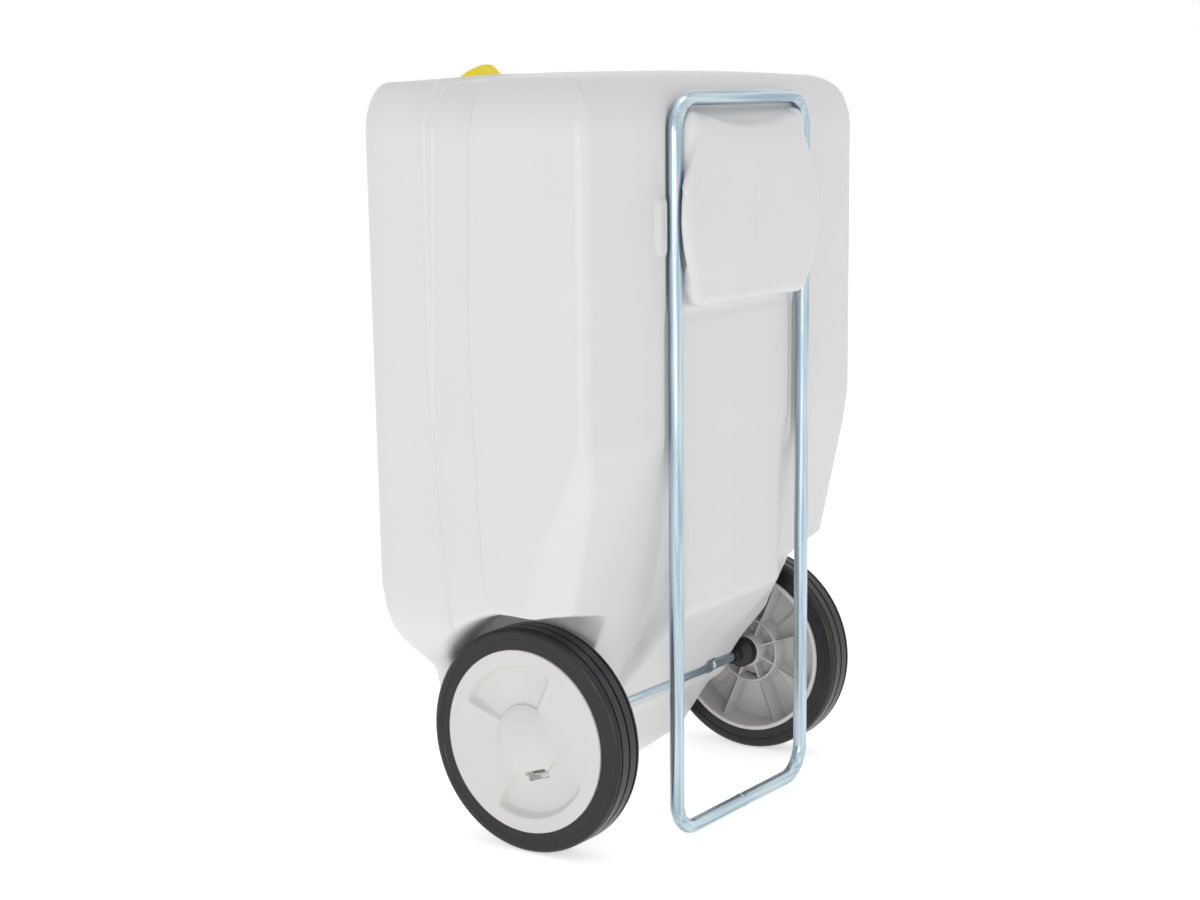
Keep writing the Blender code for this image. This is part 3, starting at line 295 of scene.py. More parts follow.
def ramp(value, low, high):
    """Smooth step from 0 to 1: t * t * (3 - 2 * t), with t the share of the way to high."""
    t = np.clip((value - low) / (high - low), 0.0, 1.0)
    return t * t * (3.0 - 2.0 * t)


def drawn_line(points, softness):
    """Profile through (place, value) points, as a function of the place.

    The straight lines between the points are averaged with a bell curve, exp(-(d / softness) ** 2
    / 2) at a distance d, which rounds each corner.
    """
    places, values = np.array(points, float).T
    step = 0.5
    table = np.arange(places[0] - 60.0, places[-1] + 60.0, step)
    reach = np.arange(-3.0 * softness, 3.0 * softness + 0.5 * step, step)
    weight = np.exp(-0.5 * (reach / softness) ** 2)
    spread = len(reach) // 2
    wider = np.arange(table[0] - step * spread, table[-1] + step * spread + 0.1, step)
    raw = np.interp(wider, places, values)
    smooth = np.convolve(raw, weight / weight.sum(), "valid")[:len(table)]
    return lambda value: np.interp(value, table[:len(smooth)], smooth)


print("fields join with exact roundings")

# %% [markdown]
# ## From a field to a mesh
#
# Marching cubes would leave thin, uneven triangles. Surface nets give a calm mesh of four-sided
# faces: every grid cell that the surface crosses gets one point, and every crossed grid edge
# joins the four points round it. The points then slide along the field's slope, in four rounds,
# until they lie on the surface, and the slope there is the exact normal.


# %% Surface nets
def slope_of(field, points, step=0.25):
    """Slope of a field at points, from the difference over a small step along each axis."""
    parts = []
    for axis in range(3):
        shift = np.zeros(3)
        shift[axis] = step
        parts.append((field(*(points + shift).T) - field(*(points - shift).T)) / (2.0 * step))
    return np.stack(parts, 1)


def net(field, corners, wrap=False):
    """Points, faces and normals of the surface where a field is zero.

    corners holds the grid's points, three axes of them. Where the third axis wraps round, its
    last plane repeats its first.
    """
    value = field(corners[..., 0], corners[..., 1], corners[..., 2])
    inside = value < 0.0
    cells = np.array(value.shape) - 1
    found, faces = [], []
    for axis in range(3):
        lower = tuple(slice(0, -1) if at == axis else slice(None) for at in range(3))
        upper = tuple(slice(1, None) if at == axis else slice(None) for at in range(3))
        edge = np.argwhere(inside[lower] != inside[upper])
        one, two = (axis + 1) % 3, (axis + 2) % 3
        for at in (one, two):
            if wrap and at == 2:
                edge = edge[edge[:, at] < cells[at]]
            else:
                edge = edge[(edge[:, at] > 0) & (edge[:, at] < cells[at])]
        ends = edge.copy()
        ends[:, axis] += 1
        near, far = tuple(edge.T), tuple(ends.T)
        share = (value[near] / (value[near] - value[far]))[:, None]
        crossing = corners[near] + share * (corners[far] - corners[near])
        around = np.repeat(edge[:, None, :], 4, 1)
        around[:, :, one] -= (0, 1, 1, 0)
        around[:, :, two] -= (0, 0, 1, 1)
        around[:, :, 2] %= cells[2]
        cell = (around[..., 0] * cells[1] + around[..., 1]) * cells[2] + around[..., 2]
        faces.append(np.where(inside[near][:, None], cell, cell[:, ::-1]))
        found.append((cell, crossing))
    quads = np.concatenate(faces)
    used, quads = np.unique(quads, return_inverse=True)
    quads = quads.reshape(-1, 4)
    count = np.zeros(len(used))
    total = np.zeros((len(used), 3))
    for cell, crossing in found:
        index = np.searchsorted(used, cell).ravel()
        count += np.bincount(index, minlength=len(used))
        spread = np.repeat(crossing, 4, 0)
        for axis in range(3):
            total[:, axis] += np.bincount(index, spread[:, axis], len(used))
    points = total / count[:, None]
    for _ in range(4):
        slope = slope_of(field, points)
        move = slope * (field(*points.T) / np.maximum((slope ** 2).sum(1), 1e-6))[:, None]
        points -= np.clip(move, -1.5, 1.5)
    normals = slope_of(field, points)
    normals /= np.maximum(np.linalg.norm(normals, axis=1), 1e-9)[:, None]
    return points, quads, normals


def spaced(*spans):
    """Grid lines from spans of (from, to, largest step)."""
    parts = [np.linspace(low, high, int(np.ceil((high - low) / step)), endpoint=False)
             for low, high, step in spans]
    return np.append(np.concatenate(parts), spans[-1][1])


print("surface nets ready")

# %% [markdown]
# ## The tank's walls
#
# In plan the tank is a box with well-rounded front corners. The rear wall bows slightly, so the
# rear corners end in a narrow facet. Below a crease the rear wall slopes forward and the
# facet widens. Lower still the body draws in to a foot that fits between the wheels, and two
# arched wells leave room for them. All of these are profiles against height, apart from the
# wells' roof, which follows depth. The three bands are the edges of the strip on each side.

# %% Tank dimensions
LEAN = 0.01386            # the loop and the rear wall lean this much, as a slope
TOP = 742.0               # height of the tank's top
CREASE = 397.0            # height below which the rear wall slopes forward
AXLE_Z = 110.0            # height of the axle
AXLE_HOLE = 6.35          # radius of every hole for the 12 mm axle
LEG_X = 119.5             # half the distance between the loop's legs
LOOP_Y = 105.8            # depth of the loop's middle plane at the ground
LOW, HIGH = 7.5, 714.6    # heights of the loop's lower and upper bar
BEND = 31.0               # radius of the loop's bends
TUBE = 7.0                # radius of the loop's tube
DRAWN = 504.5             # how far the loop draws out

half_width = drawn_line(((0, 177), (145, 177), (157, 187), (185, 222), (203, 238), (223, 247),
                         (245, 249.4), (760, 249.4)), 6.0)
front_depth = drawn_line(((0, 150), (110, 161), (145, 169), (760, 169)), 9.0)
rear_depth = drawn_line(((0, -80), (82, -24), (93, -6), (110, 0), (126, 10), (151, 28), (188, 46),
                         (232, 68), (CREASE, 106.3), (760, 111.3)), 3.5)
facet_setback = drawn_line(((200, 20), (245, 40), (303, 37), (CREASE + 2, 14.8), (760, 14.8)), 5.0)
facet_rise = drawn_line(((200, 12), (245, 38), (303, 35), (CREASE + 2, 15), (760, 15)), 5.0)
well_roof = drawn_line(((12, 238), (34, 238), (46, 242), (80, 248), (140, 252)), 2.5)
column_rear = drawn_line(((0, -90), (108, -2), (218, 101.1), (TOP, 108.4)), 6.0)
column_half = drawn_line(((0, 97), (334, 97), (CREASE, 114), (TOP, 114)), 6.0)
lip_half = drawn_line(((500, 104), (526, 105), (549, 113), (572, 123), (597, 127), (622, 125.5),
                       (640, 119), (655, 110), (670, 103), (686, 94), (720, 88)), 5.0)
band_front = drawn_line(((245, -67.5), (258, -68.2), (352, -75.2), (449, -79.8),
                         (760, -78.4)), 8.0)
band_second = drawn_line(((245, -67.5), (258, -68.2), (352, -75.2), (449, -78.2),
                          (700, -68)), 8.0)
band_rear = drawn_line(((238, -6), (246, -12), (256, -22), (296, -25.3), (315, -26.1),
                        (461, -32.2), (518, -32.4), (642, -27.7), (703, -24)), 4.0)
pillow_face = drawn_line(((520, 127), (560, 132.6), (590, 133.5), (660, 133.5), (690, 131.6),
                          (706, 130)), 6.0)


def loop_plane(z):
    """Depth of the loop's middle plane at a height."""
    return LOOP_Y + LEAN * z


print("the loop leans", round(LEAN * TOP, 1), "mm over the tank's height")

# %% [markdown]
# The body is the space inside of all its walls. The wells are then taken away and the centre
# column is added, which carries the loop below the crease. In every field ax is the distance from
# the middle plane, since the tank is the same on both sides.


# %% Body, wells and column
FACET_RUN = 15.0                    # the facet's slope in plan is its rise over this run
DOME = 7.0                          # the top's middle stands this much over its edge
WELL_X = 173.0                      # the wells' inner walls
WELL_Y, WELL_RADIUS = 12.0, 128.0   # the wells' arch, round a line at the axle's height


def body_field(ax, y, z):
    """Main body: side, facet, rear, front, top and sole, each a plane or a profiled wall.

    A wall's distance is divided by its slope, which keeps it in millimetres. Under the column the
    rear wall lies 8 mm deeper, so that the two never lie on each other. A bead of 0.4 mm runs up
    both edges of the facet. The edges soften towards the top.
    """
    slope = 0.5 * ramp(z, 138.0, 158.0) * (1.0 - ramp(z, 236.0, 252.0))
    side = (ax - half_width(z)) / np.sqrt(1.0 + slope)
    bow = 6.0 * np.maximum((ax - 125.0) / 110.0, 0.0) ** 2 * (0.3 + 0.7 * ramp(z, 360.0, CREASE))
    hidden = ramp(z, 340.0, 365.0) * (1.0 - ramp(z, 560.0, 620.0))
    rear = y - rear_depth(z) + bow + 8.0 * (1.0 - ramp(ax, 108.0, 116.0)) * hidden
    rear = rear / np.where(z > CREASE, 1.0, np.where(z > 232.0, 1.02, 1.17))
    rise = facet_rise(z)
    facet = (ax - half_width(z)) * rise + (y - rear_depth(z) + facet_setback(z)) * FACET_RUN
    facet = facet / np.sqrt(rise * rise + FACET_RUN * FACET_RUN)
    front = -y - front_depth(z)
    soft = ramp(z, 684.0, 716.0)
    plan = both(both(side, facet, 3.0 + 4.0 * soft), rear, 3.5 + 6.0 * soft)
    edges = np.exp(-((side - facet) / 1.8) ** 2) + np.exp(-((facet - rear) / 1.8) ** 2)
    plan = plan - 0.4 * edges * (1.0 - soft) * ramp(z, CREASE - 40.0, CREASE)
    plan = both(plan, front, 50.0 - 12.0 * ramp(z, 145.0, 245.0))
    crown = np.clip(1.0 - (ax / 232.0) ** 2, 0, 1)
    crown = crown * np.clip(1.0 - ((y + 30.0) / 126.0) ** 2, 0, 1)
    top = z - (TOP - DOME + DOME * (1.0 - (1.0 - crown) ** 2))
    reach = 36.0 - 12.0 * ramp(-y, 60.0, 140.0) + 4.0 * ramp(y, 40.0, 90.0)
    closed = both(plan, top, reach, 50.0)
    sole_reach = 16.0 + 30.0 * ramp(ax, 105.0, 160.0)
    return both(closed, -z, sole_reach, 30.0)


def well_field(ax, y, z):
    """Wheel well: a round arch ahead of its middle line, then a roof that falls inwards."""
    arch = np.sqrt((y - WELL_Y) ** 2 + (z - AXLE_Z) ** 2) - WELL_RADIUS
    fall = 14.0 * np.clip((249.0 - ax) / 74.0, 0.0, 1.0) * ramp(y, WELL_Y, 50.0)
    roof = z - well_roof(y) + fall
    return both(WELL_X - ax, np.where(y < WELL_Y, arch, roof), 12.0)


def column_field(ax, y, z):
    """Centre column: below 218 mm its rear wall slopes down to the axle."""
    rear = (y - column_rear(z)) / np.where(z < 218.0, 1.35, 1.0)
    column = both(ax - column_half(z), rear, 14.0)
    return np.maximum(np.maximum(column, slab(z, 112.0, 570.0)), -83.5 - y)


print("body, wells and column defined")

# %% [markdown]
# The grip pillow stands out of the rear wall so that the loop's top bar can rest on it. Its
# top is scooped for the fingers, and its sides swell out over the two legs and hold them. It is
# three fields: the block between the legs, the swelling behind them, and the swelling's upper and
# lower ends, which close in round the legs.


# %% Pillow, pads and grooves
PILLOW_LOW, PILLOW_HIGH = 520.0, 706.0   # heights of the pillow's lower and upper edge


def pillow_field(ax, y, z):
    """Soft block, its side swelling over the legs, and the swelling's two ends.

    The top falls rearwards to a dip of 18 mm * (1 - (ax / 105) ** 2) for the fingers. The
    swelling's front lies just behind the legs' middle and comes forward in the scoop.
    """
    dip = 18.0 * np.clip(1.0 - (ax / 105.0) ** 2, 0.0, 1.0)
    top = z - PILLOW_HIGH + dip * ramp(y, 104.0, 128.0)
    block = both(both(ax - 111.0, top, 18.0, 20.0), PILLOW_LOW - z, 18.0, 26.0)
    slant = ramp(z, 600.0, 650.0)
    block = both(block, y - 127.0, 7.0 + 11.0 * slant, 6.0 + 5.0 * slant)
    lip = both(both(ax - lip_half(z), top, 22.0, 18.0), PILLOW_LOW - z, 16.0, 24.0)
    lip = both(lip, y - pillow_face(z), 11.0 + 6.0 * slant, 8.0)
    ends = np.maximum(np.maximum(lip + 1.0, slab(y, 109.0, 127.0)), -slab(z, 558.0, 632.0))
    lip = both(lip, 124.2 - 14.0 * ramp(z, 652.0, 668.0) - y, 3.0)
    return np.maximum(block, 60.0 - y), lip, ends


def pad_field(ax, y, z):
    """Low pad on the lobe beside each leg, 20 mm wide and 52 mm high."""
    pad = both(slab(ax, 123.0, 143.0), slab(z, 571.0, 623.0), 7.0)
    pad = both(pad, y - loop_plane(z) + 2.2, 7.0, 2.8)
    return np.maximum(pad, 80.0 - y)


def leg_field(ax, y, z):
    """Channel round each leg and bend of the loop, narrower where the pillow holds them.

    The drawn loop's lower bends come up against the pillow, so they have their place there too.
    The distance to the loop's line is hypot(off, along): off in the loop's plane, where a bend is
    a quarter circle, and along square to that plane.
    """
    across, along = np.maximum(ax - (LEG_X - BEND), 0.0), y - loop_plane(z)
    off = np.hypot(across, np.maximum(z - (HIGH - BEND), 0.0)) - BEND
    channel = np.hypot(off, along) - 10.5 + 2.0 * ramp(z, 500.0, 525.0)
    off = np.hypot(across, np.maximum(LOW + BEND + DRAWN - z, 0.0)) - BEND
    drawn = np.maximum(np.hypot(off, along) - TUBE - 1.0, z - 560.0)
    return np.maximum(np.minimum(channel, drawn), CREASE - 20.0 - z)


print("the pillow is", PILLOW_HIGH - PILLOW_LOW, "mm high")

# %% [markdown]
# The neck leans forward by 45 degrees out of the front's upper edge, on a round boss. Low on the
# rear a groove takes the axle, which is pushed in through a narrower mouth and snaps home.

# %% Neck boss and axle groove
NECK_Y, NECK_Z = -219.0, 730.0   # middle of the cap's face
NECK_BORE = 24.5                 # radius of the neck's bore
DIAGONAL = np.sqrt(0.5)          # sine and cosine of 45 degrees


def along_neck(y, z):
    """Distance from the cap's face along the neck's axis into the tank, and across it."""
    return ((y - NECK_Y) - (z - NECK_Z)) * DIAGONAL, ((y - NECK_Y) + (z - NECK_Z)) * DIAGONAL


def boss_field(x, y, z):
    """Round boss that carries the neck."""
    depth, across = along_neck(y, z)
    boss = both(np.hypot(x, across) - 40.0, 23.5 - depth, 3.0)
    return np.maximum(boss, depth - 120.0)


def bore_field(x, y, z):
    """Inside of the neck, which opens into a rounded hollow as the real tank does."""
    depth, across = along_neck(y, z)
    bore = np.maximum(np.hypot(x, across) - NECK_BORE, depth - 150.0)
    hollow = np.sqrt(x * x + (y + 80.0) ** 2 + (z - 640.0) ** 2) - 66.0
    return either(bore, hollow, 6.0)


def groove_field(ax, y, z):
    """Snap groove for the axle, wider at its ears and its bushes, its mouth 14 degrees down."""
    up = z - AXLE_Z
    ring = np.hypot(y, up)
    ears = np.maximum(ring - 9.0, slab(ax, 99.0, 117.0))
    ends = np.maximum(ring - 18.0, 154.4 - ax)
    turn = np.radians(14.0)
    out = y * np.cos(turn) - up * np.sin(turn)
    across = y * np.sin(turn) + up * np.cos(turn)
    mouth = np.maximum(-out, np.abs(across) - 6.2)
    return np.minimum(np.minimum(ring - AXLE_HOLE, ears), np.minimum(ends, mouth))


print("the cap's face is", NECK_Z, "mm above the ground")

# %% [markdown]
# Each side has a strip between two fine ridges, sunk in two steps of 1.2 and 1.4 mm, which ends
# with one step back. A parting line of 0.35 mm runs round the middle, where the mould's halves
# met. The order matters: the leg channels are cut before the swelling is added, which holds the
# legs from behind.


# %% The whole tank
def tank_field(x, y, z):
    """All of the tank: body, strip, wells, column, pads, pillow, boss, parting line, grooves."""
    ax = np.abs(x)
    tank = body_field(ax, y, z)
    front, second, rear = band_front(z), band_second(z), band_rear(z)
    depth = 1.2 * ramp(y, front - 1.5, front + 2.0) + 1.4 * ramp(y, second - 1.5, second + 2.0)
    depth = depth - 2.6 * ramp(y, rear - 1.2, rear + 1.2)
    ridge = 0.4 * np.exp(-((y - front + 0.6) / 1.5) ** 2)
    ridge = ridge + 0.4 * np.exp(-((y - second + 0.6) / 1.5) ** 2) * ramp(z, 430.0, 500.0)
    tank = tank + (depth - ridge) * ramp(z, 200.0, 225.0)
    edge = 8.0 - 5.0 * ramp(y, -15.0, 20.0)
    tank = without(tank, well_field(ax, y, z), edge)
    tank = either(tank, column_field(ax, y, z), 9.0)
    tank = either(tank, pad_field(ax, y, z), 3.0)
    block, lip, ends = pillow_field(ax, y, z)
    tank = either(either(tank, block, 5.0), ends, 4.0)
    tank = without(tank, leg_field(ax, y, z), 2.5)
    tank = either(tank, lip, 5.0)
    tank = either(tank, boss_field(x, y, z), 12.0)
    tank = tank - 0.35 * np.exp(-(x / 1.1) ** 2) * ramp(z, 2.0, 12.0)
    tank = without(tank, bore_field(x, y, z), 1.0)
    return without(tank, groove_field(ax, y, z), 1.5)


print("field in the tank's middle:", round(float(tank_field(0.0, -30.0, 450.0))), "mm")

# %% [markdown]
# The grid is fine where edges run and coarse over the flats. Its rear part leans with the rear
# wall, so that no line of it crosses that wall at a slant, which would show as steps.

# %% Tank mesh
across = spaced((0, 4.4, 1.1), (4.4, 60, 7.5), (60, 100, 5), (100, 132, 2.1), (132, 205, 7),
                (205, 240, 4.4), (240, 254, 1.8))
across = np.concatenate([-across[:0:-1], across])
along = spaced((-236, -172, 4.5), (-172, -128, 4), (-128, -84, 7.5), (-84, -62, 1.6),
               (-62, -34, 7), (-34, -18, 1.6), (-18, 22, 3.2), (22, 70, 7), (70, 92, 3.8),
               (92, 116, 1.9), (116, 138, 2.1))
upward = spaced((-3, 36, 3.6), (36, 95, 7.5), (95, 126, 3.2), (126, 224, 5.5), (224, 258, 2.8),
                (258, 384, 7.8), (384, 410, 3.6), (410, 512, 8.4), (512, 540, 2.9),
                (540, 700, 4.6), (700, 745, 2.4))
corners = np.stack(np.meshgrid(across, along, upward, indexing="ij"), -1)
corners[..., 1] += LEAN * corners[..., 2] * np.clip((corners[..., 1] - 20.0) / 40.0, 0.0, 1.0)
points, faces, normals = net(tank_field, corners)
put("tank", points, faces, "tank", polyethylene, ["tank_shell"], normals)
print("tank spans", np.round(np.ptp(points, 0), 1), "mm")

# %% [markdown]
# ## Neck
#
# Under the cap the tank has a neck with one and a half turns of thread. The thread is a ridge in
# the radius of a turned tube: its place along the neck grows by 6 mm per turn.


# %% Neck with its thread
NECK_RADIUS = 28.5
THREAD_TURNS, THREAD_PITCH = 1.5, 6.0


def on_neck(points):
    """Turned points, X along the neck's axis into the tank, moved to their place on the tank."""
    along, rise, side = np.asarray(points).T
    y, z = NECK_Y + (rise + along) * DIAGONAL, NECK_Z + (rise - along) * DIAGONAL
    return np.stack([side, y, z], 1)


def thread(along, radius, angle):
    """Trapezoid ridge, 1.6 mm high, that fades in and out over an eighth of a turn."""
    rise = np.zeros_like(radius)
    for turn in (0.0, 1.0):
        place = angle / (2.0 * np.pi) + turn
        away = np.abs(along - 9.5 - THREAD_PITCH * place)
        fade = ramp(place, 0.0, 0.12) * (1.0 - ramp(place, THREAD_TURNS - 0.12, THREAD_TURNS))
        rise = np.maximum(rise, 1.6 * ramp(1.8 - away, 0.0, 1.1) * fade)
    return np.where(radius > NECK_RADIUS - 0.5, rise, 0.0)


wall = np.linspace(6.8, 26.0, 60)
mouth = rounded(((27.0, NECK_BORE, 0), (5.7, NECK_BORE, 0.7), (5.7, NECK_RADIUS, 0.9),
                 (27.0, NECK_RADIUS, 0)), closed=False)[:-1]
section = np.concatenate([mouth, np.stack([wall, np.full(60, NECK_RADIUS)], 1),
                          [[27.0, NECK_RADIUS]]])
points, faces = turned(section, 144, thread)
put("neck", on_neck(points), faces, "tank", polyethylene)

# %% [markdown]
# ## Cap and seal
#
# The cap is injection-moulded in yellow polypropylene, glossier than the tank. Its grip is 32
# rounded flutes, which fade out before the smooth collar. A black rubber ring lies under its top.

# %% Cap plastic and seal rubber
cap_plastic, tree, shader, where = material(
    "yellow_polypropylene", "#FDE420", Roughness=0.33, IOR=1.49)
speck = add(tree, "ShaderNodeTexNoise", {"Vector": where, "Scale": 1.0 / 0.0015, "Detail": 1.0})
dimple = add(tree, "ShaderNodeBump", {"Height": speck.outputs["Fac"], "Strength": 0.08,
                                      "Distance": 0.0002})
tree.links.new(dimple.outputs["Normal"], shader.inputs["Normal"])
seal_rubber = material("seal_rubber_black", "#2A2A2B", Roughness=0.7)[0]
print("made", cap_plastic.name, "and", seal_rubber.name)

# %% [markdown]
# Both pieces are round, so each is a section turned about the neck's axis: along it from the
# cap's face, and out from it. The flutes are a ripple in the radius.


# %% Cap and seal
FLUTES, CAP_RADIUS = 32, 35.0


def flutes(along, radius, angle):
    """Grip flutes: 0.8 mm * ((1 + cos(32 * angle)) / 2) ** 1.5 deep, on the outer wall only."""
    wave = (0.5 + 0.5 * np.cos(FLUTES * angle)) ** 1.5
    stretch = ramp(along, 1.6, 3.4) * (1.0 - ramp(along, 17.6, 18.8))
    return np.where(radius > CAP_RADIUS - 1.0, -0.8 * wave * stretch, 0.0)


skirt = np.stack([np.linspace(2.6, 18.8, 22), np.full(22, CAP_RADIUS)], 1)
section = np.concatenate([
    rounded(((0, 0.05, 0), (0, 32.5, 2.0), (1.5, CAP_RADIUS, 1.2), (6, CAP_RADIUS, 0)),
            closed=False)[:-1], skirt,
    rounded(((19.0, CAP_RADIUS, 0), (19.5, 35.2, 0.2), (22, 35.2, 0.5), (22, 31.6, 0.5),
             (3, 31.6, 1.0), (3, 0.05, 0)), closed=False)[1:]])
points, faces = turned(section, 512, flutes, ring=False)
put("cap", on_neck(points), faces, "cap", cap_plastic, ["screw_cap"])
section = rounded(((3.35, 24.25, 0.4), (3.35, 31.25, 0.4), (5.35, 31.25, 0.4),
                   (5.35, 24.25, 0.4)), 3)
points, faces = turned(section, 96)
put("seal", on_neck(points), faces, "seal", seal_rubber, ["cap_seal"])

# %% [markdown]
# ## Zinc-plated steel
#
# The loop and the axle are bright zinc-plated steel. Zinc reflects with a cool, bluish tone. The
# tube was drawn and then plated in a barrel, which leaves long streaks along it and small dull
# spots. The streaks are noise stretched 30 times along the tube: along Z on the loop's legs and
# along X on its bars and on the axle. Their darker and lighter bands in the base colour are partly
# those marks and partly painted reflection, dark and bright strips along the tube. Height tells
# legs from bars, in metres, with a soft change over each bend. The axle is what lies near its own
# height and ahead of the loop.


# %% Zinc
DRAWN_OUT = 0.033                   # one part in 30

zinc, tree, shader, where = material("bright_zinc_plate", "#A9BFCB", Metallic=1.0, Roughness=0.3)
spot = add(tree, "ShaderNodeSeparateXYZ", {0: where}).outputs
above = add(tree, "ShaderNodeMapRange", {"Value": spot["Z"], "From Min": 0.012,
                                         "From Max": 0.034})
below = add(tree, "ShaderNodeMapRange", {"Value": spot["Z"], "From Min": 0.712,
                                         "From Max": 0.688})
leg = add(tree, "ShaderNodeMath", {0: above.outputs["Result"], 1: below.outputs["Result"]},
          operation="MULTIPLY")
near = add(tree, "ShaderNodeMath", {0: spot["Z"], 1: AXLE_Z * MM, 2: 0.0125}, operation="COMPARE")
ahead = add(tree, "ShaderNodeMath", {0: spot["Y"], 1: 0.1}, operation="LESS_THAN")
rod = add(tree, "ShaderNodeMath", {0: near.outputs[0], 1: ahead.outputs[0]}, operation="MULTIPLY")
upright = add(tree, "ShaderNodeMath", {0: leg.outputs[0], 1: rod.outputs[0]}, operation="SUBTRACT")
# Streak noise along the tube, which also places painted reflection strips
streaks_and_reflections = []
for stretch in ((DRAWN_OUT, 1.0, 1.0), (1.0, 1.0, DRAWN_OUT)):
    spread = add(tree, "ShaderNodeMapping", {"Vector": where, "Scale": stretch})
    streaks_and_reflections.append(add(tree, "ShaderNodeTexNoise", {
        "Vector": spread.outputs[0], "Scale": 1.0 / 0.004, "Detail": 3.0}).outputs["Fac"])
streak_and_reflection_mark = add(tree, "ShaderNodeMix", {"Factor": upright.outputs[0], "A": streaks_and_reflections[0],
                                   "B": streaks_and_reflections[1]}).outputs["Result"]
# Base colour from the streaks, between a darker and a lighter zinc: partly drawing marks, partly
# painted reflection
streak_and_reflection_tone = add(tree, "ShaderNodeValToRGB", {"Fac": streak_and_reflection_mark})
for stop, place, colour in zip(streak_and_reflection_tone.color_ramp.elements, (0.34, 0.62), ("#9AB0BD", "#C8D6DF")):
    stop.position, stop.color = place, linear(colour)
tree.links.new(streak_and_reflection_tone.outputs["Color"], shader.inputs["Base Color"])
dull = add(tree, "ShaderNodeMapRange", {"Value": streak_and_reflection_mark, "From Min": 0.3, "From Max": 0.7,
                                        "To Min": 0.32, "To Max": 0.18})
tree.links.new(dull.outputs["Result"], shader.inputs["Roughness"])
print("made", zinc.name)

# %% [markdown]
# ## Pull loop
#
# The loop is one tube of 14 mm, bent with 31 mm bends and welded shut in the middle of its lower
# bar. Its path is a rounded rectangle that leans with the rear wall. The weld is a low bead.

# %% Loop
flat = LEG_X - BEND
outline = []
for x, z, start in ((flat, HIGH - BEND, 0), (-flat, HIGH - BEND, 90), (-flat, LOW + BEND, 180),
                    (flat, LOW + BEND, 270)):
    turn = np.radians(start + np.linspace(0.0, 90.0, 19))
    outline.append(np.stack([x + BEND * np.cos(turn), z + BEND * np.sin(turn)], 1))
outline = np.concatenate(outline)
ends = np.roll(outline, -1, 0)
span = np.linalg.norm(ends - outline, axis=1)
weld = np.array([-8, -5, -3.4, -2.8, -2.2, -1.4, 0, 1.4, 2.2, 2.8, 3.4, 5, 8], float)
path = []
for point, after, length in zip(outline, ends, span):
    share = np.linspace(0.0, 1.0, max(1, int(length / 12.0)), endpoint=False)
    if after[1] < LOW + 0.01 and length > 100.0:
        share = np.sort(np.append(share, 0.5 + weld / length))
    path.append(point + share[:, None] * (after - point))
path = np.concatenate(path)
bead = 0.55 * np.exp(-(path[:, 0] / 2.0) ** 4) * (path[:, 1] < LOW + 1.0)
side = np.array([0.0, 1.0, -LEAN]) / np.hypot(1.0, LEAN)
place = np.stack([path[:, 0], loop_plane(path[:, 1]), path[:, 1]], 1)
points, faces = swept(place, side, TUBE + bead - 0.05, 40, ring=True)
put("loop", points, faces, "loop", zinc, ["pull_loop"])

# %% [markdown]
# ## Axle
#
# The axle is a 12 mm bar. Two pressed ears keep it from sliding in the tank's groove, and a ring
# groove near each end takes a wheel's lock spring. One end's profile is mirrored to the other.

# %% Axle
BAR, END_AT, AROUND = 6.0, 216.35, 48   # radius, end and points round the bar
reach = np.concatenate([np.linspace(0.0, 98.0, 15), np.linspace(99.0, 117.0, 25),
                        np.linspace(118.0, 210.0, 14)])
press = ramp(reach, 100.0, 104.5) * (1.0 - ramp(reach, 111.5, 116.0))
wide, thin = BAR + 2.0 * press, BAR - 1.6 * press
tail = rounded(((210.0, BAR, 0), (210.75, BAR, 0.2), (210.75, 4.7, 0.2), (213.35, 4.7, 0.2),
                (213.35, BAR, 0.2), (END_AT, BAR, 0.9), (END_AT, 0.05, 0)), 4, closed=False)[1:]
reach = np.append(reach, tail[:, 0])
wide, thin = np.append(wide, tail[:, 1]), np.append(thin, tail[:, 1])
reach = np.concatenate([-reach[:0:-1], reach])
wide, thin = np.concatenate([wide[:0:-1], wide]), np.concatenate([thin[:0:-1], thin])
angle = np.arange(AROUND) * 2.0 * np.pi / AROUND
points = np.stack([np.repeat(reach[:, None], AROUND, 1), thin[:, None] * np.sin(angle),
                   AXLE_Z + wide[:, None] * np.cos(angle)], -1).reshape(-1, 3)
faces = outward(points, grid_faces(len(reach), AROUND))
put("axle_bar", points, faces, "tank", zinc, ["axle"])

# %% [markdown]
# ## Wheel materials
#
# The wheel bodies are injection-moulded in a white close to the tank's, with a smoother skin.
# Thick ribs shrink as they cool and leave waves about 18 mm long in the face.

# %% Wheel plastic
wheel_plastic, tree, shader, where = material(
    "wheel_polypropylene", "#DAD8D6", Roughness=0.32, IOR=1.49)
cloud = add(tree, "ShaderNodeTexNoise", {"Vector": where, "Scale": 1.0 / 0.06, "Detail": 2.0})
tint = add(tree, "ShaderNodeMix", {"Factor": cloud.outputs["Fac"], "A": linear("#D6D4D2"),
                                   "B": linear("#DEDCDA")}, data_type="RGBA")
tree.links.new(tint.outputs["Result"], shader.inputs["Base Color"])
sink = add(tree, "ShaderNodeTexNoise", {"Vector": where, "Scale": 1.0 / 0.018, "Detail": 1.0})
shrunk = add(tree, "ShaderNodeBump", {"Height": sink.outputs["Fac"], "Strength": 0.15,
                                      "Distance": 0.0006})
tree.links.new(shrunk.outputs["Normal"], shader.inputs["Normal"])
print("made", wheel_plastic.name)

# %% [markdown]
# The tyres are black rubber with a fine matt grain. The bushes are black nylon, and the lock
# springs are steel wire with a yellow passivated coat.

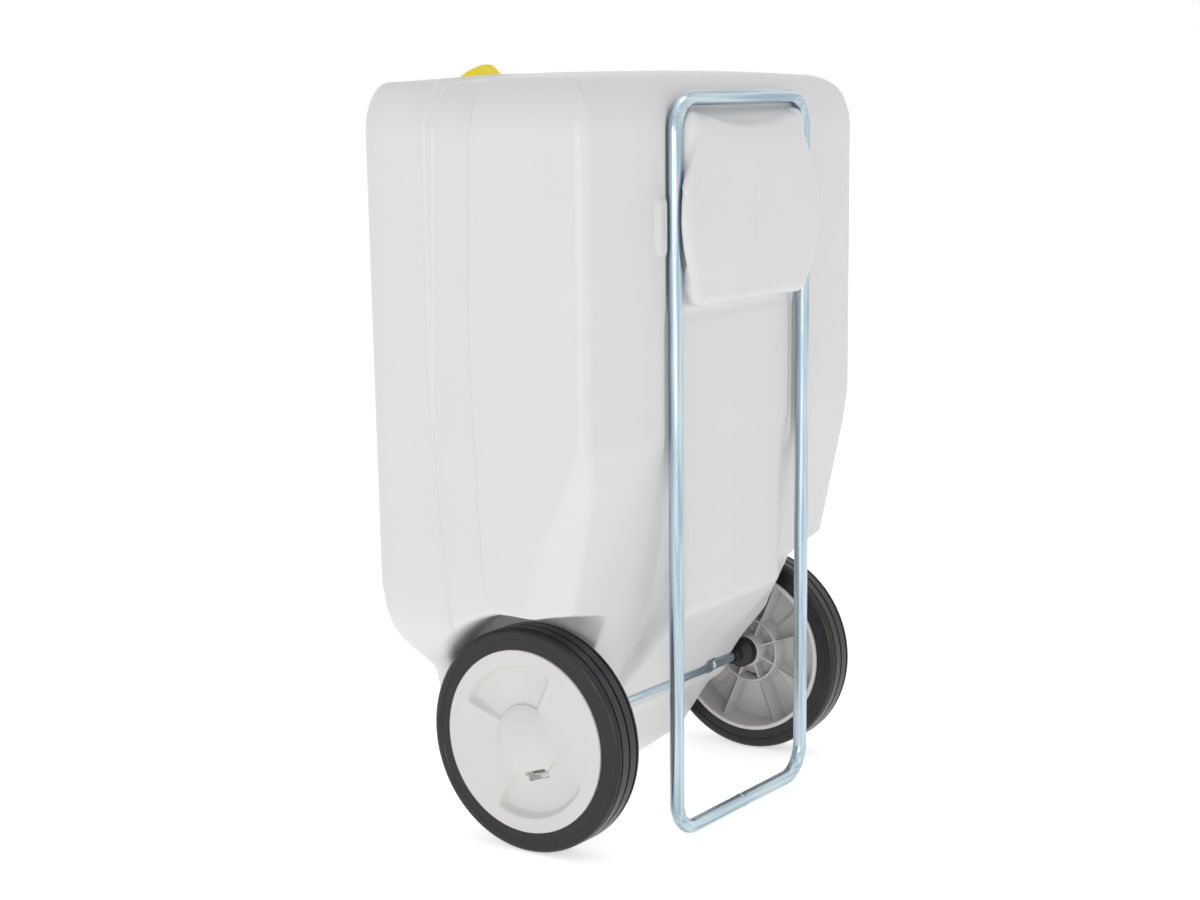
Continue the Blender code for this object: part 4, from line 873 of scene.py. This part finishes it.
# %% Tyre rubber, nylon and spring wire
tyre_rubber, tree, shader, where = material(
    "tyre_rubber_black", "#1E1E20", Roughness=0.27, Specular_IOR_Level=0.42)
cloud = add(tree, "ShaderNodeTexNoise", {"Vector": where, "Scale": 1.0 / 0.03, "Detail": 4.0})
tint = add(tree, "ShaderNodeMix", {"Factor": cloud.outputs["Fac"], "A": linear("#19191B"),
                                   "B": linear("#242426")}, data_type="RGBA")
tree.links.new(tint.outputs["Result"], shader.inputs["Base Color"])
grain = add(tree, "ShaderNodeTexNoise", {"Vector": where, "Scale": 1.0 / 0.0009, "Detail": 2.0})
matt = add(tree, "ShaderNodeBump", {"Height": grain.outputs["Fac"], "Strength": 0.2,
                                    "Distance": 0.0002})
tree.links.new(matt.outputs["Normal"], shader.inputs["Normal"])
nylon = material("bush_nylon_black", "#1D1D1F", Roughness=0.42)[0]
spring_wire = material("spring_passivated", "#C7AC72", Metallic=1.0, Roughness=0.25)[0]
print("made", tyre_rubber.name, nylon.name, "and", spring_wire.name)

# %% [markdown]
# ## Wheels
#
# Each wheel is made in its own frame: X along the axle from the rim's inboard edge outwards, a
# pocket's middle on Y. It is then turned to where the photograph shows it, and the right wheel
# is turned half round, so that both show their faces outwards.


# %% Tyre and bush
WHEELS = (("left", 1, 289.0), ("right", -1, 1.5))   # name, side and turn as photographed
WHEEL_X = 184.4                                     # each rim's inboard edge
TYRE = 110.0                                        # radius of the tyre


def on_wheel(points, side, turn, move=True):
    """Points or normals of a wheel, turned by an angle and moved to the left (1) or right (-1)."""
    along, y, z = np.asarray(points).T
    turn = np.radians(turn)
    y, z = y * np.cos(turn) - z * np.sin(turn), y * np.sin(turn) + z * np.cos(turn)
    shift = (side * WHEEL_X, 0.0, AXLE_Z) if move else (0.0, 0.0, 0.0)
    return np.stack([side * along, side * y, z], 1) + shift


section = [(2.1, 90.05, 0.3), (2.1, 99.6, 0.5), (1.2, 100.6, 0.5), (1.2, TYRE, 5.4)]
for middle in (8.2, 20.25, 32.3):
    section += [(middle - 1.3, TYRE, 0.3), (middle - 0.75, TYRE - 2.0, 0.35),
                (middle + 0.75, TYRE - 2.0, 0.35), (middle + 1.3, TYRE, 0.3)]
section += [(39.3, TYRE, 5.4), (39.3, 100.6, 0.5), (38.4, 99.6, 0.5), (38.4, 90.05, 0.3)]
tyre = turned(rounded(section, 6), 256)
section = rounded(((-28, AXLE_HOLE, 0.3), (-28, 9, 0.8), (-18, 9, 2.5), (-11.4, 15, 2.0),
                   (-10.2, 16, 0.6), (-0.35, 16, 0.6), (-0.35, 12, 0.2), (13.5, 12, 0.4),
                   (13.5, AXLE_HOLE, 0.3)), 5)
bush = turned(section, 96)
print("the bush is", np.ptp(section[:, 0]), "mm long")

# %% [markdown]
# The lock spring is a hairpin of 1.6 mm wire, open on one side. Its two tails reach through the
# slot in the wheel's face, so that it can be pulled off the axle's groove with pliers.

# %% Lock spring, and both wheels' small pieces
wire = rounded(((34, -8.85, 0), (21.5, -8.85, 4), (12, -5.85, 4), (-20.85, -5.85, 5.8),
                (-20.85, 5.85, 5.8), (12, 5.85, 4), (21.5, 8.85, 4), (34, 8.85, 0)),
               12, closed=False)
wire = np.stack([np.full(len(wire), 27.65), wire[:, 0], wire[:, 1]], 1)
tips = np.array([[27.65, 34.6, -8.85], [27.65, 34.4, -8.85]])
wire = np.concatenate([tips, wire, tips[::-1] * (1, 1, -1)])
thick = np.full(len(wire), 0.8)
thick[[0, 1, -2, -1]] = 0.3, 0.6, 0.6, 0.3
spring = swept(wire, (1.0, 0.0, 0.0), thick, 16)
for name, side, turn in WHEELS:
    for part, (points, faces), shade, slot in (
            ("tyre", tyre, tyre_rubber, "tyre_rubber"), ("hub_bush", bush, nylon, "bush_plastic"),
            ("lock_spring", spring, spring_wire, "spring_wire")):
        put(name + "_" + part + "_fine", on_wheel(points, side, turn), faces, name + "_wheel",
            shade, [name + "_" + part])

# %% [markdown]
# The wheel body has all that the turned pieces lack: two sunk pockets, a slot for the spring's
# tails, a domed middle, and ribs inside. It is a field again, now round the axle.

# %% Wheel body
RIM, HUB, DISC_DOME = 89.7, 17.6, 31.0   # outer radii of the rim, the hub and the domed middle
POCKET_FLOOR = 32.0                      # the pockets' floor along the axle
POCKET_HALF = np.radians(46.0)           # half the angle that a pocket spans
crown = drawn_line(((-5, 41.6), (5.6, 41.6), (6.3, 41.3), (7.0, 41.85), (8.0, 41.85), (9.0, 41.2),
                    (14, 40.9), (20, 40.2), (26, 38.8), (31, 36.9), (33.2, 35.9), (34.8, 35.2),
                    (60, 39.0), (75, 40.5), (95, 40.5)), 0.5)


def disc_field(x, y, z):
    """Wheel body: rim, face with two pockets, dome, hub, middle ring and eight ribs.

    The face follows the crown's profile over the radius, and within a pocket it falls to the
    pocket's floor. Its back does the same 3.2 mm further in. The ribs lie where the angle round
    the axle is an odd multiple of 22.5 degrees.
    """
    r = np.hypot(y, z)
    into = both(r - 76.0, (np.arctan2(np.abs(z), np.abs(y)) - POCKET_HALF) * r, 7.0)
    sink = crown(r) - POCKET_FLOOR
    face = crown(r) - sink * ramp(-into, 0.0, 5.5) * ramp(r, 34.4, 36.2)
    back = crown(r) - 3.2 - sink * ramp(3.2 - into, 0.0, 5.5) * ramp(r, 31.5, 33.0)
    plate = both(both(slab(x, back, face), r - RIM, 1.6), DISC_DOME - 2.5 - r, 0.5)
    rim = both(slab(r, RIM - 4.5, RIM), slab(x, 0.0, face), 1.2)
    dome = both(slab(x, face - 2.5, face), r - DISC_DOME, 0.5)
    skirt = both(slab(r, DISC_DOME - 2.5, DISC_DOME), slab(x, 24.0, face), 0.5)
    base = both(slab(x, 24.0, 26.5), r - DISC_DOME, 0.8)
    hub = both(slab(x, 0.0, 25.0), r - HUB, 1.0)
    ring = both(slab(r, 33.9, 36.1), slab(x, 7.0, face - 1.5), 0.8)
    turn = np.arctan2(z, y) * 4.0 / np.pi
    off = np.abs(turn - np.floor(turn) - 0.5) * r * np.pi / 4.0
    rib = both(both(off - 1.1, slab(x, 9.0, face - 1.5), 0.6), slab(r, 15.0, 87.0), 0.5)
    shell = either(np.minimum(plate, np.minimum(dome, rim)), skirt, 0.8)
    inner = np.minimum(either(either(base, hub, 1.2), ring, 0.8), rib)
    body = either(shell, inner, 1.2)
    bore = np.where(x < 13.8, r - 12.35, r - AXLE_HOLE)
    body = without(body, np.maximum(bore, x - 27.0), 0.4)
    window = both(both(np.abs(z) - 12.5, slab(y, 29.5, 38.5), 2.0), 26.5 - x, 1.0)
    gate = np.maximum(np.maximum(np.abs(z) - 10.5, slab(y, 16.0, 34.0)), slab(x, 26.5, 30.5))
    return without(body, np.minimum(window, gate), 0.6)


print("the dome stands", round(float(crown(5.0) - crown(34.8)), 1), "mm over its edge")

# %% [markdown]
# The grid for it runs round the axle, so its cells follow the rim. Such a grid is open at the
# axle, and the small holes left there are closed with flat faces.


# %% Wheel body mesh
def rims(faces):
    """Open edges of a mesh, those that only one face has, chained into loops that close it."""
    pairs = [np.stack([faces[:, at], faces[:, (at + 1) % 4]], 1) for at in range(4)]
    pairs = np.concatenate(pairs)
    size = pairs.max() + 1
    key, back = pairs[:, 0] * size + pairs[:, 1], pairs[:, 1] * size + pairs[:, 0]
    lone = pairs[~np.isin(back, key)]
    step = {int(second): int(first) for first, second in lone}
    loops = []
    while step:
        loop = [next(iter(step))]
        while loop[-1] in step:
            loop.append(step.pop(loop[-1]))
        loops.append(loop[:-1])
    return loops


along = spaced((-1.3, 2.6, 1.3), (2.6, 22.6, 2.2), (22.6, 43.4, 1.25))
radial = spaced((0.5, 4.5, 2.0), (4.5, 9.5, 0.7), (9.5, 19.5, 1.4), (19.5, 27.5, 2.6),
                (27.5, 40, 0.95), (40, 74, 3.2), (74, 78, 1.6), (78, 84, 2.4), (84, 91, 0.95))
around = np.linspace(0.0, 2.0 * np.pi, 241)
grid = np.stack(np.meshgrid(along, radial, around, indexing="ij"), -1)
corners = np.stack([grid[..., 0], grid[..., 1] * np.cos(grid[..., 2]),
                    grid[..., 1] * np.sin(grid[..., 2])], -1)
points, faces, normals = net(disc_field, corners, wrap=True)
holes = rims(faces)
print("holes closed at the axle:", [len(hole) for hole in holes])
faces = faces.tolist() + holes
for name, side, turn in WHEELS:
    placed, facing = on_wheel(points, side, turn), on_wheel(normals, side, turn, move=False)
    put(name + "_wheel_body", placed, faces, name + "_wheel", wheel_plastic,
        [name + "_wheel_disc"], facing)

# %% [markdown]
# ## Camera
#
# The camera was solved from the photograph: the two wheels are circles of one size, and the
# loop is a flat frame, which together fix where the picture was taken from. Its axes are the
# picture's right, its up, and back from the object.

# %% Camera
lens = bpy.data.cameras.new("camera")
lens.lens = 66.28
lens.sensor_width = 36.0
lens.clip_start = 0.01
camera = bpy.data.objects.new("camera", lens)
bpy.context.collection.objects.link(camera)
right = Vector((-0.5712, 0.8206, -0.0205)).normalized()
back = Vector((0.8088, 0.5669, 0.1568)).normalized()
up = back.cross(right).normalized()
right = up.cross(back)
turn = Matrix((right, up, back)).transposed().to_4x4()
camera.matrix_world = Matrix.Translation((1.8512, 1.29154, 0.7153)) @ turn
bpy.context.scene.camera = camera
print("camera stands", round(camera.location.length, 2), "m from the tank's foot")

# %% [markdown]
# ## Light, floor and background
#
# A product picture of a white tank on white needs soft light from everywhere and only a slight
# lead from one side, or the form disappears. The world gives the soft part. Rays from the
# camera see plain white there, and so do mirror rays.

# %% World
scene = bpy.context.scene
scene.view_settings.view_transform = "Standard"
world = bpy.data.worlds.new("studio")
scene.world = world
world.use_nodes = True
tree = world.node_tree
tree.nodes.clear()
path = add(tree, "ShaderNodeLightPath")
seen = path.outputs["Is Camera Ray"]
for ray in ("Is Glossy Ray", "Is Transmission Ray"):
    seen = add(tree, "ShaderNodeMath", {0: seen, 1: path.outputs[ray]},
               operation="MAXIMUM").outputs[0]
soft = add(tree, "ShaderNodeBackground", {"Color": linear("#FFFFFF"), "Strength": 0.59})
white = add(tree, "ShaderNodeBackground", {"Color": linear("#FFFFFF"), "Strength": 1.0})
mixed = add(tree, "ShaderNodeMixShader", {0: seen, 1: soft.outputs[0], 2: white.outputs[0]})
add(tree, "ShaderNodeOutputWorld", {"Surface": mixed.outputs[0]})
print("world made")

# %% [markdown]
# Four soft boxes lead the light: low from the camera's side, from the left, a faint one from
# behind, and a broad one from above.


# %% Lamps
def lamp(name, place, aim, width, power):
    """Soft area lamp at a place, turned to its aim, in metres and watts."""
    light = bpy.data.lights.new(name, "AREA")
    light.size = width
    light.energy = power
    holder = bpy.data.objects.new(name, light)
    bpy.context.collection.objects.link(holder)
    holder.location = place
    holder.rotation_euler = (Vector(aim) - Vector(place)).to_track_quat("-Z", "Y").to_euler()


lamp("camera_softbox", (2.6, 1.9, 0.35), (0.0, 0.0, 0.25), 0.8, 8.0)
lamp("side_softbox", (3.2, 0.3, 0.9), (0.0, 0.0, 0.4), 0.8, 7.5)
lamp("rear_softbox", (-0.3, 3.2, 0.9), (0.0, 0.0, 0.4), 0.5, 1.5)
lamp("top_softbox", (0.0, 0.2, 3.0), (0.0, 0.0, 0.0), 1.6, 7.5)
print("four lamps placed")

# %% [markdown]
# The floor is pale and wide, half a millimetre under the wheels. It glows a little, and slightly
# more for the camera, so that it ends in the white background and keeps the tank's shadow.

# %% Floor
FLOOR_REACH, FLOOR_Z = 60.0, -0.0005
floor_shade, tree, shader, _ = material("studio_floor", "#EDEDED", Roughness=0.8)
path = add(tree, "ShaderNodeLightPath")
glow = add(tree, "ShaderNodeMapRange", {"Value": path.outputs["Is Camera Ray"], "To Min": 0.5,
                                        "To Max": 0.62})
shader.inputs["Emission Color"].default_value = linear("#FFFFFF")
tree.links.new(glow.outputs["Result"], shader.inputs["Emission Strength"])
mesh = bpy.data.meshes.new("floor")
mesh.from_pydata([(FLOOR_REACH * x, FLOOR_REACH * y, FLOOR_Z)
                  for x, y in ((-1, -1), (1, -1), (1, 1), (-1, 1))], [], [(0, 1, 2, 3)])
mesh.materials.append(floor_shade)
floor = bpy.data.objects.new("floor", mesh)
bpy.context.collection.objects.link(floor)
print("floor placed")
